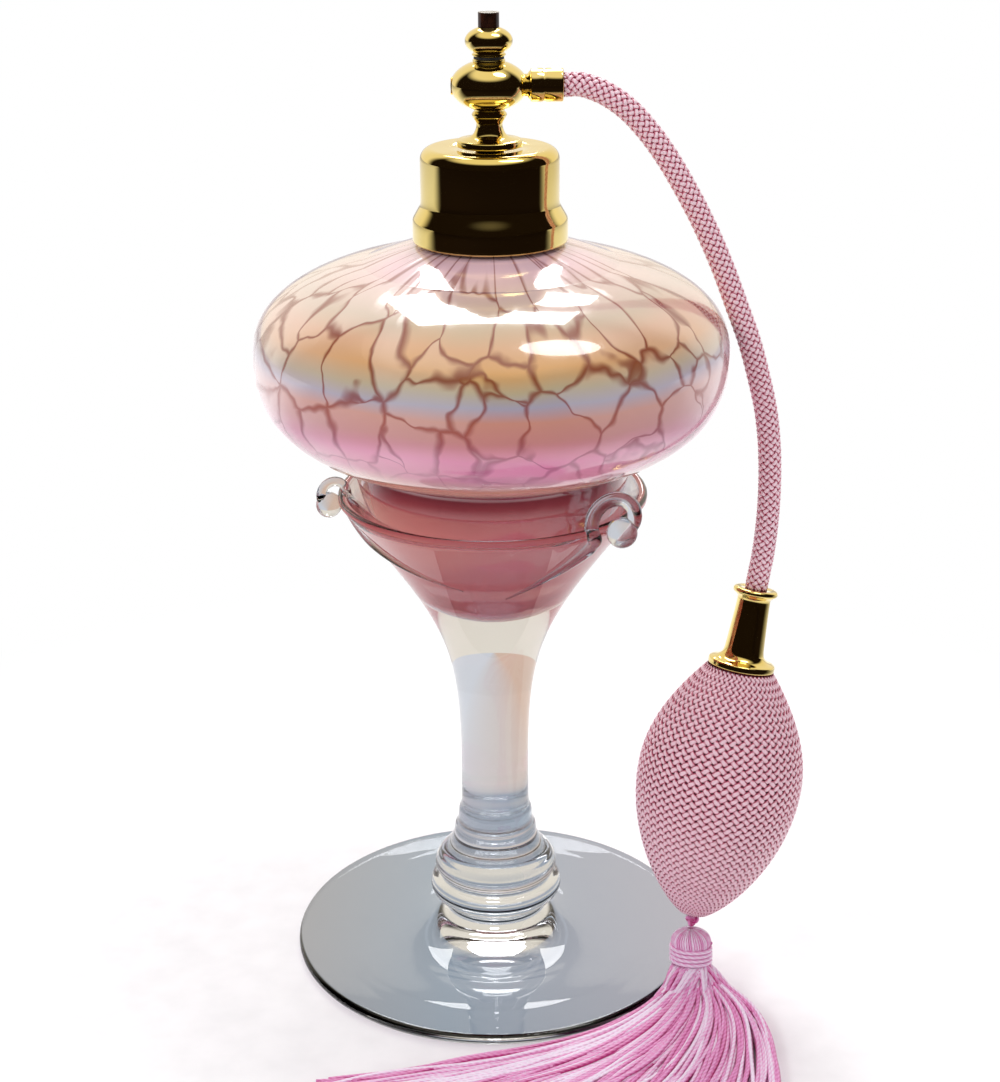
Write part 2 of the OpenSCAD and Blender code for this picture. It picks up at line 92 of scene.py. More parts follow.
def make_piece(name, points, face_groups, material, uv=None, values=None):
    """A smooth mesh object from points in millimetres; uv has a row per face corner, values one per point."""
    points = np.asarray(points, float).reshape(-1, 3) * MM
    corners = np.concatenate([g.ravel() for g in face_groups])
    sizes = np.concatenate([np.full(len(g), g.shape[1]) for g in face_groups])
    mesh = bpy.data.meshes.new(name)
    mesh.vertices.add(len(points))
    mesh.vertices.foreach_set("co", points.ravel())
    mesh.loops.add(len(corners))
    mesh.loops.foreach_set("vertex_index", corners.astype(np.int32))
    mesh.polygons.add(len(sizes))
    mesh.polygons.foreach_set("loop_start", (np.cumsum(sizes) - sizes).astype(np.int32))
    if uv is not None:
        mesh.uv_layers.new(name="thread").data.foreach_set("uv", np.asarray(uv, np.float32).ravel())
    for key, data in (values or {}).items():
        kind = "FLOAT" if np.ndim(data) == 1 else "FLOAT_VECTOR"
        field = "value" if kind == "FLOAT" else "vector"
        mesh.attributes.new(key, kind, "POINT").data.foreach_set(field, np.asarray(data, np.float32).ravel())
    mesh.update(calc_edges=True)
    tidy = bmesh.new()
    tidy.from_mesh(mesh)
    bmesh.ops.remove_doubles(tidy, verts=tidy.verts, dist=1e-7)
    bmesh.ops.recalc_face_normals(tidy, faces=tidy.faces)
    tidy.to_mesh(mesh)
    tidy.free()
    mesh.polygons.foreach_set("use_smooth", np.ones(len(mesh.polygons), bool))
    mesh.materials.append(material)
    piece = bpy.data.objects.new(name, mesh)
    bpy.context.scene.collection.objects.link(piece)
    print(name, len(mesh.polygons), "faces")
    return piece


def arc(centre, radius, start, end, steps):
    """Points [r, z] on a circle round centre, from one angle in degrees to another."""
    a = np.radians(np.linspace(start, end, steps + 1))
    return np.c_[centre[0] + radius * np.cos(a), centre[1] + radius * np.sin(a)]


def curve(p, q, r, s, steps):
    """Points of a cubic with four handles: u^3 p + 3 u^2 t q + 3 u t^2 r + t^3 s, where u = 1 - t."""
    t = np.linspace(0, 1, steps + 1)[:, None]
    p, q, r, s = (np.asarray(v, float) for v in (p, q, r, s))
    return (1 - t) ** 3 * p + 3 * (1 - t) ** 2 * t * q + 3 * (1 - t) * t**2 * r + t**3 * s


def softened(profile, times):
    """Cuts every corner of a line at a quarter and three quarters of its sides, and again, to a soft curve."""
    line = np.asarray(profile, float)
    for _ in range(times):
        a, b = line[:-1], line[1:]
        cut = np.stack([0.75 * a + 0.25 * b, 0.25 * a + 0.75 * b], 1).reshape(-1, line.shape[1])
        line = np.vstack([line[:1], cut, line[-1:]])
    return line


def turned(profile, segments):
    """A lathe: the point [r, z] goes round the axis to (r cos a, r sin a, z)."""
    a = np.linspace(0, 2 * np.pi, segments, endpoint=False)
    r, z = np.asarray(profile, float).T[:, :, None]
    return np.stack([r * np.cos(a), r * np.sin(a), z + 0 * a], -1)


def turned_piece(name, profile, material, segments, loop=False, place=None, values=None):
    """A lathe piece; loop joins the profile's end to its start, and place moves the points."""
    points = turned(profile, segments)
    if place is not None:
        points = place(points)
    faces = grid_faces(len(profile), segments, loop_rows=loop, loop_columns=True)
    return make_piece(name, points, [faces], material, values=values)


# %% [markdown]
# A material is a small graph of nodes. One function adds a node with its settings, and links or sets its
# inputs. Colours are written as on a paint card, in sRGB, and one function turns them to the linear light
# that shaders use.

# %% Material tools


def linear(code):
    """sRGB hex to linear red, green, blue, alpha: c / 12.92 when dark, ((c + 0.055) / 1.055)^2.4 when not."""
    c = np.array([int(code[i : i + 2], 16) for i in (1, 3, 5)]) / 255
    c = np.where(c <= 0.04045, c / 12.92, ((c + 0.055) / 1.055) ** 2.4)
    return (*c.tolist(), 1.0)


def add(tree, kind, inputs=None, **settings):
    """Adds a node to a tree. An input has a name or number: a socket is linked, a hex colour or value is set."""
    node = tree.nodes.new(kind)
    for key, value in settings.items():
        setattr(node, key, value)
    for key, value in (inputs or {}).items():
        if isinstance(value, bpy.types.NodeSocket):
            tree.links.new(value, node.inputs[key])
        else:
            node.inputs[key].default_value = linear(value) if isinstance(value, str) else value
    return node


def new_material(name, **shader):
    """A material with a Principled shader whose sockets are set by name, with _ for a space."""
    material = bpy.data.materials.new(name)
    material.use_nodes = True
    tree = material.node_tree
    tree.nodes.clear()
    inputs = {key.replace("_", " "): value for key, value in shader.items()}
    body = add(tree, "ShaderNodeBsdfPrincipled", inputs)
    add(tree, "ShaderNodeOutputMaterial", {"Surface": body.outputs[0]})
    return material, tree, body


def ramp(tree, factor, stops):
    """A colour ramp from (place, hex) stops."""
    node = add(tree, "ShaderNodeValToRGB", {"Fac": factor})
    marks = node.color_ramp.elements
    while len(marks) < len(stops):
        marks.new(1.0)
    for mark, (place, code) in zip(marks, stops):
        mark.position = place
        mark.color = linear(code)
    return node.outputs["Color"]


def bump(tree, body, height, distance, strength):
    """Gives a shader a relief: height runs from 0 to 1, and distance says how many metres high a 1 stands."""
    relief = add(tree, "ShaderNodeBump", {"Height": height, "Distance": distance, "Strength": strength})
    tree.links.new(relief.outputs[0], body.inputs["Normal"])


def grain(tree, scale, detail=3.0):
    """Noise on object coordinates, with scale in bumps per metre."""
    place = add(tree, "ShaderNodeTexCoord").outputs["Object"]
    return add(tree, "ShaderNodeTexNoise", {"Vector": place, "Scale": scale, "Detail": detail}).outputs[0]


def surface(tree, shader):
    """Makes a shader the one that the material's output shows."""
    end = next(node for node in tree.nodes if node.type == "OUTPUT_MATERIAL")
    tree.links.new(shader.outputs[0], end.inputs["Surface"])


# %% [markdown]
# ## Clear glass
# Soda-lime glass, drawn and tooled hot, then smoothed in the flame. It is clear with a cool grey cast, a
# refractive index of 1.5, and a surface that ripples a little because no mould touched it. The colour stands
# for the tint that light picks up on its way through the thick foot. For shadows and for light that a matt
# surface sends on, the glass is simply transparent, so that lamplight reaches the table without grainy bright
# spots.

# %% Clear glass material
clear_glass, tree, body = new_material(
    "soda_lime_glass_fire_polished", Base_Color="#E2E4E8", Roughness=0.0, IOR=1.5, Transmission_Weight=1.0
)
bump(tree, body, grain(tree, 45.0, detail=1.0), 0.0004, 0.25)
path = add(tree, "ShaderNodeLightPath")
light_only = add(tree, "ShaderNodeMath", {0: path.outputs["Is Shadow Ray"], 1: path.outputs["Is Diffuse Ray"]},
                 operation="MAXIMUM").outputs[0]
clear = add(tree, "ShaderNodeBsdfTransparent", {"Color": "#E9E6EA"})
surface(tree, add(tree, "ShaderNodeMixShader", {0: light_only, 1: body.outputs[0], 2: clear.outputs[0]}))
print("glass", clear_glass.name)

# %% [markdown]
# ## Gold-plated brass
# The cap, the head and the ferrule are spun or turned from brass, polished and plated with a flash of gold. A
# mirror has almost no colour of its own at rest: it shows the dark room in front of it, with a warm gold edge
# wherever it catches the pale wall behind. A faint ripple from polishing bends those lines.

# %% Metal materials
gold, tree, body = new_material("gold_plated_brass_mirror_polished", Metallic=1.0, Roughness=0.05)
tint = ramp(tree, grain(tree, 60.0), [(0.3, "#E6CC72"), (0.7, "#F4E29C")])
tree.links.new(tint, body.inputs["Base Color"])
bump(tree, body, grain(tree, 90.0, detail=1.0), 0.0002, 0.2)

bare_brass, tree, body = new_material("turned_brass_bare", Metallic=1.0, Roughness=0.3)
tint = ramp(tree, grain(tree, 400.0), [(0.3, "#A8843C"), (0.7, "#CBA660")])
tree.links.new(tint, body.inputs["Base Color"])

steel, tree, body = new_material("steel_ground", Metallic=1.0, Roughness=0.25)
tint = ramp(tree, grain(tree, 900.0), [(0.3, "#A9ABAD"), (0.7, "#C9CACC")])
tree.links.new(tint, body.inputs["Base Color"])
print("metals", gold.name, bare_brass.name, steel.name)

# %% [markdown]
# ## Plastics and rubbers
# These sit inside the cap or the bulb and hardly show, but each keeps the look of how it was made: moulded
# polypropylene is chalky, extruded polyethylene is milky, nitrile rubber is nearly black and dull.

# %% Plastic and rubber materials


def moulded(name, low, high, roughness, scale, relief):
    """A moulded material: two close colours mixed by noise, and a fine relief of the same noise."""
    material, tree, body = new_material(name, Roughness=roughness)
    noise = grain(tree, scale)
    tree.links.new(ramp(tree, noise, [(0.35, low), (0.65, high)]), body.inputs["Base Color"])
    bump(tree, body, noise, relief, 0.4)
    return material


white_plastic = moulded("polypropylene_moulded", "#E4E2DC", "#F2F0EA", 0.45, 700.0, 0.00005)
milky_tube = moulded("polyethylene_extruded", "#D9D8CE", "#E8E7DE", 0.3, 300.0, 0.00003)
nitrile = moulded("nitrile_rubber_moulded", "#232322", "#32312F", 0.6, 900.0, 0.00006)
rose_latex = moulded("latex_rubber_rose", "#7E2740", "#96324E", 0.55, 500.0, 0.00008)
tip_lacquer = moulded("brown_lacquer_over_plastic", "#1C0D07", "#35190D", 0.18, 500.0, 0.00003)
print("plastics", [m.name for m in (white_plastic, milky_tube, nitrile, rose_latex, tip_lacquer)])

# %% [markdown]
# ## The hose
# A thin rubber tube inside a braided sleeve. Sixteen flat bundles of rayon go round it, eight each way, and
# pass over and under each other, so the sleeve shows columns of short slanting strokes. A painted pattern
# would go flat at the edge of the tube, so each bundle is a strip of its own that rises and falls at every
# crossing. On the bundle that runs one way the crossings come at even steps, and the wave cos(2 pi n s / L)
# lifts it over every second one. The bundles that run the other way take the opposite wave.

# %% Thread material and thread surfaces


def thread_material(name, colours, plies_mm, flank_shade, roughness=0.36):
    """Shiny yarn of twisted plies, in a ramp of three colours: painted shade for the gap, the yarn's pink, and a
    painted highlight for the crown of a thread. The twist runs on the piece's own thread coordinates: u is
    millimetres along the thread and v is turns round it. A quarter turn is the crown and three quarters the
    underside, which is as pale; the flanks between are painted darker, as shade, by flank_shade. Plies are drawn
    about twice as coarse as real, to show."""
    material, tree, body = new_material(name, Roughness=roughness, Sheen_Weight=0.2, Sheen_Roughness=0.4)
    uv = add(tree, "ShaderNodeUVMap", uv_map="thread").outputs[0]
    parts = add(tree, "ShaderNodeSeparateXYZ", {0: uv})
    along = add(tree, "ShaderNodeMath", {0: parts.outputs[0], 1: 2 * math.pi / plies_mm}, operation="MULTIPLY")
    round_it = add(tree, "ShaderNodeMath", {0: parts.outputs[1], 1: 6 * math.pi}, operation="MULTIPLY")
    both = add(tree, "ShaderNodeMath", {0: along.outputs[0], 1: round_it.outputs[0]}, operation="ADD")
    wave = add(tree, "ShaderNodeMath", {0: both.outputs[0]}, operation="SINE").outputs[0]
    shade = add(tree, "ShaderNodeAttribute", attribute_name="tone_and_shade").outputs["Fac"]
    ply = add(tree, "ShaderNodeMath", {0: wave, 1: 0.1, 2: shade}, operation="MULTIPLY_ADD").outputs[0]
    # Painted shade: the flanks of a thread are made darker and its crown and underside lighter, as light falls on
    # a round thread.
    turn = add(tree, "ShaderNodeMath", {0: parts.outputs[1], 1: 2 * math.pi}, operation="MULTIPLY").outputs[0]
    crown = add(tree, "ShaderNodeMath", {0: turn}, operation="SINE").outputs[0]
    crown = add(tree, "ShaderNodeMath", {0: crown}, operation="ABSOLUTE").outputs[0]
    crown = add(tree, "ShaderNodeMath", {0: crown, 1: flank_shade, 2: -0.75 * flank_shade},
                operation="MULTIPLY_ADD").outputs[0]
    light = add(tree, "ShaderNodeMath", {0: ply, 1: crown}, operation="ADD").outputs[0]
    # The ramp runs from painted shade in the gaps to a painted highlight on the crowns.
    tree.links.new(ramp(tree, light, list(zip((0.0, 0.5, 1.0), colours))), body.inputs["Base Color"])
    bump(tree, body, wave, 0.00005, 0.6)
    return material


# In each yarn the first colour is the painted shade of the gaps and the last a painted highlight.
hose_yarn = thread_material("rayon_braid_pink", ("#7C1232", "#D65E7C", "#FFE2EA"), 0.9, flank_shade=0.85)
net_yarn = thread_material("rayon_net_pink", ("#4C061E", "#C44E6C", "#F8D4DE"), 1.0, flank_shade=1.0)
fringe_yarn = thread_material("silk_thread_pink", ("#C42E7C", "#F09CD2", "#FFEEFF"), 1.3, flank_shade=0.6,
                              roughness=0.3)
print("yarns", hose_yarn.name, net_yarn.name, fringe_yarn.name)


def thread_points(centre, across, up, half_width, half_height, sides):
    """Round every centre point a small ring: centre + w cos a across + h sin a up."""
    a = np.linspace(0, 2 * np.pi, sides, endpoint=False)
    w = np.broadcast_to(half_width, centre.shape[:2])[..., None, None]
    h = np.broadcast_to(half_height, centre.shape[:2])[..., None, None]
    return (centre[:, :, None] + w * np.cos(a)[:, None] * across[:, :, None]
            + h * np.sin(a)[:, None] * up[:, :, None])


def unit(v):
    """The vectors at length one."""
    return v / np.maximum(np.linalg.norm(v, axis=-1, keepdims=True), 1e-12)


def threads_piece(name, centre, out, half_width, half_height, material, tone_and_shade, sides=6, extra=None):
    """Threads along centre (threads, stations, 3); out points away from what they lie on. Ends are closed.
    tone_and_shade lightens each thread from 0 to 1: a lightness of its own on some pieces, painted shade on the
    hose and the net. extra is the points, faces and tone_and_shade of what they are wound on."""
    count, stations = centre.shape[:2]
    way = unit(np.gradient(centre, axis=1))
    across = unit(np.cross(way, out))
    up = np.cross(across, way)
    points = thread_points(centre, across, up, half_width, half_height, sides).reshape(-1, 3)
    one = grid_faces(stations, sides, loop_columns=True)
    step = stations * sides
    start = (np.arange(count) * step)[:, None, None]
    walls = (one[None] + start).reshape(-1, 4)
    ring = np.arange(sides)
    caps = np.concatenate([ring[::-1] + start[:, 0], ring + (stations - 1) * sides + start[:, 0]])
    length = np.concatenate([np.zeros((count, 1)),
                             np.cumsum(np.linalg.norm(np.diff(centre, axis=1), axis=-1), axis=1)], 1)
    i, j = np.divmod(np.arange((stations - 1) * sides), sides)
    u = np.stack([length[:, i], length[:, i], length[:, i + 1], length[:, i + 1]], -1)
    v = np.broadcast_to(np.stack([j, j + 1, j + 1, j], -1) / sides, u.shape)
    uv = np.concatenate([np.stack([u, v], -1).reshape(-1, 2), np.zeros((caps.size, 2))])
    # Per thread lightness: random on the fringe and the tassel head, painted shade at the crossings of hose and
    # net.
    tones = np.repeat(np.broadcast_to(np.reshape(tone_and_shade, (count, -1)), (count, stations)).ravel(), sides)
    faces = [walls, caps]
    if extra is not None:
        more_points, more_faces, more_tone = extra
        faces.append(more_faces + len(points))
        uv = np.concatenate([uv, np.zeros((more_faces.size, 2))])
        points = np.concatenate([points, more_points.reshape(-1, 3)])
        tones = np.concatenate([tones, np.full(len(points) - len(tones), more_tone)])
    return make_piece(name, points, faces, material, uv=uv, values={"tone_and_shade": tones})


# %% [markdown]
# The hose runs in one hanging bow from the spigot to the bulb, through listed points, and the bulb hangs
# on its end at a lean of its own.

# %% Hose route
bulb_tail = np.array([39.2, -19.8, 16.2])
lean, heading = math.radians(14.5), math.radians(46)
bulb_axis = np.array([math.sin(lean) * math.cos(heading), math.sin(lean) * math.sin(heading), math.cos(lean)])
BULB_LONG, FERRULE_LONG = 51.2, 15.9
hose_end = bulb_tail + (BULB_LONG + FERRULE_LONG) * bulb_axis
route = np.array([
    [13.4, 0, 176.5], [16.8, 0, 176.5], [21.2, 0, 174.8], [25.4, 0, 171.8], [29.1, 0, 167.8], [32.2, -0.1, 163.6],
    [35, -0.3, 159.1], [38, -0.6, 153.8], [40.8, -1, 148.2], [43.4, -1.4, 142.3], [45.8, -2, 136.1],
    [48.4, -2.6, 129.2], [50.4, -3.2, 122.2], [51.8, -3.9, 116.2], [52.6, -4.6, 110.2], [52.9, -5.3, 104.4],
    [52.9, -5.8, 98.7], [52.6, -6.2, 92.8], [52, -6.7, 87.4], hose_end + 4 * bulb_axis, hose_end,
])


def through(points, steps):
    """A smooth line through points (the Catmull-Rom cubic), resampled at equal distances."""
    p = np.vstack([2 * points[0] - points[1], points, 2 * points[-1] - points[-2]])
    t = np.linspace(0, 1, 24, endpoint=False)[None, :, None]
    a, b, c, d = (p[i : len(p) - 3 + i, None] for i in range(4))
    line = 0.5 * (2 * b + (c - a) * t + (2 * a - 5 * b + 4 * c - d) * t**2 + (3 * b - a - 3 * c + d) * t**3)
    line = np.vstack([line.reshape(-1, 3), points[-1]])
    s = np.concatenate([[0], np.cumsum(np.linalg.norm(np.diff(line, axis=0), axis=1))])
    even = np.linspace(0, s[-1], steps)
    return np.stack([np.interp(even, s, line[:, k]) for k in range(3)], -1), s[-1]


HOSE_STEPS = 720
middle, hose_long = through(route, HOSE_STEPS)
forward = unit(np.gradient(middle, axis=0))
side = unit(np.cross(forward, [0, 1, 0]))
top = np.cross(side, forward)
print("hose", round(hose_long, 1), "mm long")

# %% Hose braid
LAY, BUNDLES = 10.8, 8  # mm along the hose for one turn of a bundle, and bundles each way
BRAID_R, BRAID_LIFT, CORE_R, CORE_SIDES = 1.77, 0.25, 1.6, 16
s = np.linspace(0, hose_long, HOSE_STEPS)
wave = np.cos(2 * np.pi * BUNDLES * s / LAY)
first = 2 * np.pi * np.arange(BUNDLES)[:, None] / BUNDLES
angles = np.concatenate([first + 2 * np.pi * s / LAY, first - 2 * np.pi * s / LAY])
over = np.concatenate([np.repeat(wave[None], BUNDLES, 0), np.repeat(-wave[None], BUNDLES, 0)])
outward = np.cos(angles)[..., None] * side + np.sin(angles)[..., None] * top
strips = middle + (BRAID_R + BRAID_LIFT * over)[..., None] * outward
# Painted light and shade: a bundle is lighter where it passes over another and darker where it dips under.
tone_and_shade = 0.62 + 0.3 * np.sign(over) * np.abs(over) ** 0.7
core_rows = slice(None, None, 6)
core_ring = np.linspace(0, 2 * np.pi, CORE_SIDES, endpoint=False)[:, None]
core = (middle[core_rows, None] + CORE_R * (np.cos(core_ring) * side[core_rows, None]
                                            + np.sin(core_ring) * top[core_rows, None]))
core_faces = grid_faces(len(core), CORE_SIDES, loop_columns=True)
# The rubber tube under the bundles takes the yarn's darkest colour, the painted shade of the gaps between them.
hose = threads_piece("hose", strips, outward, 0.46, 0.25, hose_yarn, tone_and_shade, extra=(core, core_faces, 0.0))
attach(hose, "bulb")
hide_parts("air_hose")

# %% [markdown]
# ## The glass stand
# Foot, knop, stem and cup are gathered and joined while the glass is soft, so there is no seam inside. If
# they stayed separate solids, each joint would show as a silvery disc, because light turns back at a gap of
# air. So the visible stand is one turned surface. The cup's inside follows the flask's tail and lies a hair
# inside it, for the same reason: the hot cup is stuck to the tail.

# %% Stand
FOOT_R, RIM_R, RIM_Z = 41.4, 30.0, 98.5
TAIL = curve((26.5, 106.82), (27, 93), (11.925, 77), (0, 77), 40)
foot_edge = arc((FOOT_R - 1.1, 1.1), 1.1, -90, 90, 14)
foot_top = curve((33.4, 2.4), (24, 3.4), (12, 3.0), (10.3, 8.5), 30)
knop = np.vstack([
    arc((11.1, 12.8), 2.4, -95, 72, 16), arc((10.4, 17.6), 2.1, -68, 45, 14),
    curve((11.5, 19.9), (10.1, 21.5), (9.0, 22.5), (8.4, 25), 12),
])
stem = np.vstack([softened([(8.4, 25.1), (8.3, 26.4), (7.6, 27.4), (7.5, 30), (6.9, 31.2), (6.85, 34)], 2),
                  curve((6.8, 43), (7.2, 66), (9, 72), (RIM_R, RIM_Z), 48)])
lip = arc((RIM_R - 0.9, RIM_Z + 0.2), 0.9, 20, 180, 12)
SUNK = 0.15  # how far the cup's inside lies within the tail
seat = TAIL[(TAIL[:, 1] < RIM_Z - 0.4)] - [SUNK, 0]
seat = np.vstack([seat[:-1] + [0, 0.1], [0, TAIL[-1, 1] + SUNK]])
profile = np.vstack([[0, 0], [20, 0], foot_edge, foot_top, knop, stem, lip, seat])
stand = turned_piece("glass_stand", profile, clear_glass, 256)
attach(stand, "bottle")
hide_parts("foot", "knop", "stem_cup")

# %% [markdown]
# ## Three glass curls
# The maker lays a thread of hot glass up the side of the cup, pulls its end out past the rim and rolls it
# into a bead. Each curl is a round thread of changing thickness along a path that climbs the cup and ends in
# a spiral.

# %% Curls


def cup_radius(z):
    """Radius of the cup's outside at height z, read from its curve."""
    return np.interp(z, stem[:, 1], stem[:, 0])


def curl(name, at, size, bead, twist, out, up, sweep, low):
    """A trail from height low up to the rim, swept round the cup by sweep degrees, then a spiral and a bead.
    The spiral is reach (cos a, sin a) in its own plane, with reach = size (1.15 - 0.6 f) as f goes from 0 to 1.
    It stands at the angle at round the cup, its middle out and up from the rim, its plane turned by twist."""
    f = np.linspace(0, 1, 64)
    a, reach = np.radians(215 - 285 * f), size * (1.15 - 0.6 * f)
    plane = np.stack([reach * np.cos(a), 0 * a, reach * np.sin(a)], -1)
    t, w = math.radians(at), math.radians(twist)
    spiral = np.stack([plane[:, 0] * math.cos(w), plane[:, 0] * math.sin(w), plane[:, 2]], -1)
    spiral = spiral + [RIM_R + out, 0, RIM_Z + up]
    z = np.linspace(low, spiral[0, 2], 40)
    g = (z - low) / (z[-1] - low)
    turn = np.radians(sweep) * (1 - g) ** 1.5
    r = cup_radius(np.minimum(z, RIM_Z)) + 0.1
    trail = np.stack([r * np.cos(turn), r * np.sin(turn), z], -1)
    trail += (spiral[0] - trail[-1]) * (g**3)[:, None]
    line = np.vstack([trail[:-1], spiral])
    line = line @ np.array([[math.cos(t), math.sin(t), 0], [-math.sin(t), math.cos(t), 0], [0, 0, 1]])
    line = through(line[::3], 110)[0]
    h = np.linspace(0, 1, len(line))
    thick = size * 0.27 * (0.12 + 0.95 * np.minimum(1, h / 0.45) ** 1.3)
    normal = unit(line * [1, 1, 0])
    piece = threads_piece(name + "_thread", line[None], normal[None], thick[None], thick[None], clear_glass, 0.5,
                          sides=20)
    half_circle = bead * arc((0, 0), 1, -90, 90, 24)
    drop = make_piece(name + "_bead", turned(half_circle, 32) + line[-1], [grid_faces(25, 32, loop_columns=True)],
                      clear_glass)
    weld = piece.modifiers.new("weld", "BOOLEAN")
    weld.operation = "UNION"
    weld.object = drop
    weld.solver = "EXACT"
    whole = piece.evaluated_get(bpy.context.evaluated_depsgraph_get())
    welded = bpy.data.meshes.new_from_object(whole)
    piece.modifiers.clear()
    piece.data = welded
    bpy.data.objects.remove(drop)
    welded.polygons.foreach_set("use_smooth", np.ones(len(welded.polygons), bool))
    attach(piece, "bottle")
    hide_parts(name)


curl("curl_left", at=184, size=3.2, bead=2.5, twist=30, out=1.2, up=0.4, sweep=70, low=86)
curl("curl_right", at=317, size=4.8, bead=2.9, twist=62, out=1.4, up=2.0, sweep=-40, low=84)
curl("curl_back", at=78, size=3.8, bead=2.2, twist=45, out=1.4, up=0.8, sweep=60, low=86)

# %% [markdown]
# ## The flask
# Blown pink glass with a veil of pale, crackled enamel that has been stretched by the blowing: the cells are
# round at the belly and drawn out into long rays towards the neck. A metal-oxide lustre over it gives bands
# of yellow, grey-blue and rose, like oil on water, and doubles the strength of the reflections. The cells are
# Voronoi cells on coordinates of the surface's own: the angle goes round a circle, so that a cell keeps its
# share of the turn, and the height is the distance along the wall, stretched near the neck.

# %% Flask shape
WIDE, WAIST_Z, UP, DOWN, WALL = 45.1, 126.9, 19.4, 22.5, 2.2
TOP_SQUARE, LOW_SQUARE = 2.37, 2.48  # an ellipse has 2; more is fuller at the corners


def quarter(wide, high, square, last, steps):
    """A quarter of a squared ellipse from its widest point: (wide cos^(2/n) a, high sin^(2/n) a)."""
    a = np.radians(np.linspace(0, last, steps))
    return np.c_[wide * np.cos(a) ** (2 / square), WAIST_Z + high * np.sin(a) ** (2 / square)]


under = math.degrees(math.acos((26.5 / WIDE) ** (LOW_SQUARE / 2)))
edge = math.degrees(math.acos((24 / WIDE) ** (TOP_SQUARE / 2)))
shoulder = softened([(24, 144.3), (19, 146.2), (14.4, 147.6), (12.2, 148.0), (9.7, 148.3), (9.4, 150.5)], 3)
outside = np.vstack([TAIL[::-1], quarter(WIDE, -DOWN, LOW_SQUARE, under, 60)[::-1][1:],
                     quarter(WIDE, UP, TOP_SQUARE, edge, 70)[1:], shoulder[1:], [[9.4, 161.2], [9.1, 161.5]]])
inside = np.vstack([[[7.7, 161.5], [7.4, 161.2], [7.4, 150.5], [9.5, 147.2]],
                    quarter(WIDE - WALL, UP - WALL, TOP_SQUARE, 62, 40)[::-1],
                    quarter(WIDE - WALL, WALL - DOWN, LOW_SQUARE, 55, 40)[1:], TAIL[8:30] - [WALL, 0],
                    [[0, TAIL[-1, 1] + WALL]]])
profile = np.vstack([outside, inside])
print("flask outline", len(profile), "points, widest", WIDE, "mm from the axis")

# %% [markdown]
# The crackle is laid out flat before the flask is blown out, as it is on the real one: near the neck a long
# piece of wall takes up little of the pattern's height, so its cells come out as long rays.

# %% Flask pattern coordinates
along = np.concatenate([[0], np.cumsum(np.linalg.norm(np.diff(outside, axis=0), axis=1))])
belly = along[np.argmax(outside[:, 0])]
stretch = np.interp(along - belly, [-90, -30, 0, 12, 30, 60], [-9.0, -3.4, 0, 1.3, 2.2, 2.6])
stretch = np.concatenate([stretch, np.full(len(inside), 3.0)])
ROUND = 30 / (2 * np.pi)  # radius of the pattern's circle, which is 30 cells round
angle = np.linspace(0, 2 * np.pi, 256, endpoint=False)
cells = np.stack(np.broadcast_arrays(ROUND * np.cos(angle), ROUND * np.sin(angle), stretch[:, None]), -1)
print("flask wall", round(along[-1], 1), "mm from the tail's tip to the mouth")

# %% Flask material
lustre, tree, body = new_material(
    "pink_blown_glass_oxide_lustre", Roughness=0.16, IOR=1.52,
    Coat_Weight=1.0, Coat_Roughness=0.015, Coat_IOR=1.75
)
LOW_Z, HIGH_Z = 77, 150


def at_heights(stops):
    """Ramp stops from heights in millimetres: place = (z - low) / (high - low)."""
    return [((z - LOW_Z) / (HIGH_Z - LOW_Z), code) for z, code in stops]


place = add(tree, "ShaderNodeTexCoord").outputs["Object"]
height = add(tree, "ShaderNodeSeparateXYZ", {0: place}).outputs["Z"]
drift = add(tree, "ShaderNodeTexNoise", {"Vector": place, "Scale": 28.0, "Detail": 2.0}).outputs[0]
drift = add(tree, "ShaderNodeMath", {0: drift, 1: 0.006, 2: -0.003}, operation="MULTIPLY_ADD").outputs[0]
height = add(tree, "ShaderNodeMath", {0: height, 1: drift}, operation="ADD").outputs[0]
share = add(tree, "ShaderNodeMapRange", {"Value": height, "From Min": LOW_Z * MM,
                                         "From Max": HIGH_Z * MM}).outputs[0]
# Painted shade and highlight: the dark band at 104 to 107.5 mm is the shade where the belly meets the tail, and
# the cream band at 109.5 to 112 mm a highlight just above it. The other bands are the lustre's own colours.
lustre_and_painted_light_bands = ramp(tree, share, at_heights([
    (77, "#C05C60"), (98, "#D26C6A"), (104, "#9A4048"), (107.5, "#6A1C2C"), (109.5, "#CFA490"), (112, "#CF9C84"),
    (115.5, "#C86A8C"), (120, "#D86C9C"), (124, "#D08680"), (127.5, "#D69480"), (130, "#AFAABB"),
    (132.5, "#BDAC84"), (135.5, "#DB9C3A"), (138.5, "#D09240"), (141, "#AC9048"), (143, "#C49C74"),
    (146, "#E8B2BC"),
]))
print("lustre from", LOW_Z, "to", HIGH_Z, "mm")

# %% Flask crackle
own = add(tree, "ShaderNodeAttribute", attribute_name="cells").outputs["Vector"]
wander = add(tree, "ShaderNodeTexNoise", {"Vector": own, "Scale": 1.1, "Detail": 2.0}).outputs["Color"]
wander = add(tree, "ShaderNodeVectorMath", {0: wander, 1: (0.5, 0.5, 0.5)}, operation="SUBTRACT").outputs[0]
wander = add(tree, "ShaderNodeVectorMath", {0: wander, "Scale": 0.7}, operation="SCALE").outputs[0]
own = add(tree, "ShaderNodeVectorMath", {0: own, 1: wander}, operation="ADD").outputs[0]
crack = add(tree, "ShaderNodeTexVoronoi", {"Vector": own, "Scale": 1.0}, feature="DISTANCE_TO_EDGE").outputs[0]
tile = add(tree, "ShaderNodeTexVoronoi", {"Vector": own, "Scale": 1.0}, feature="F1").outputs["Color"]
tile = add(tree, "ShaderNodeSeparateXYZ", {0: tile}).outputs[0]
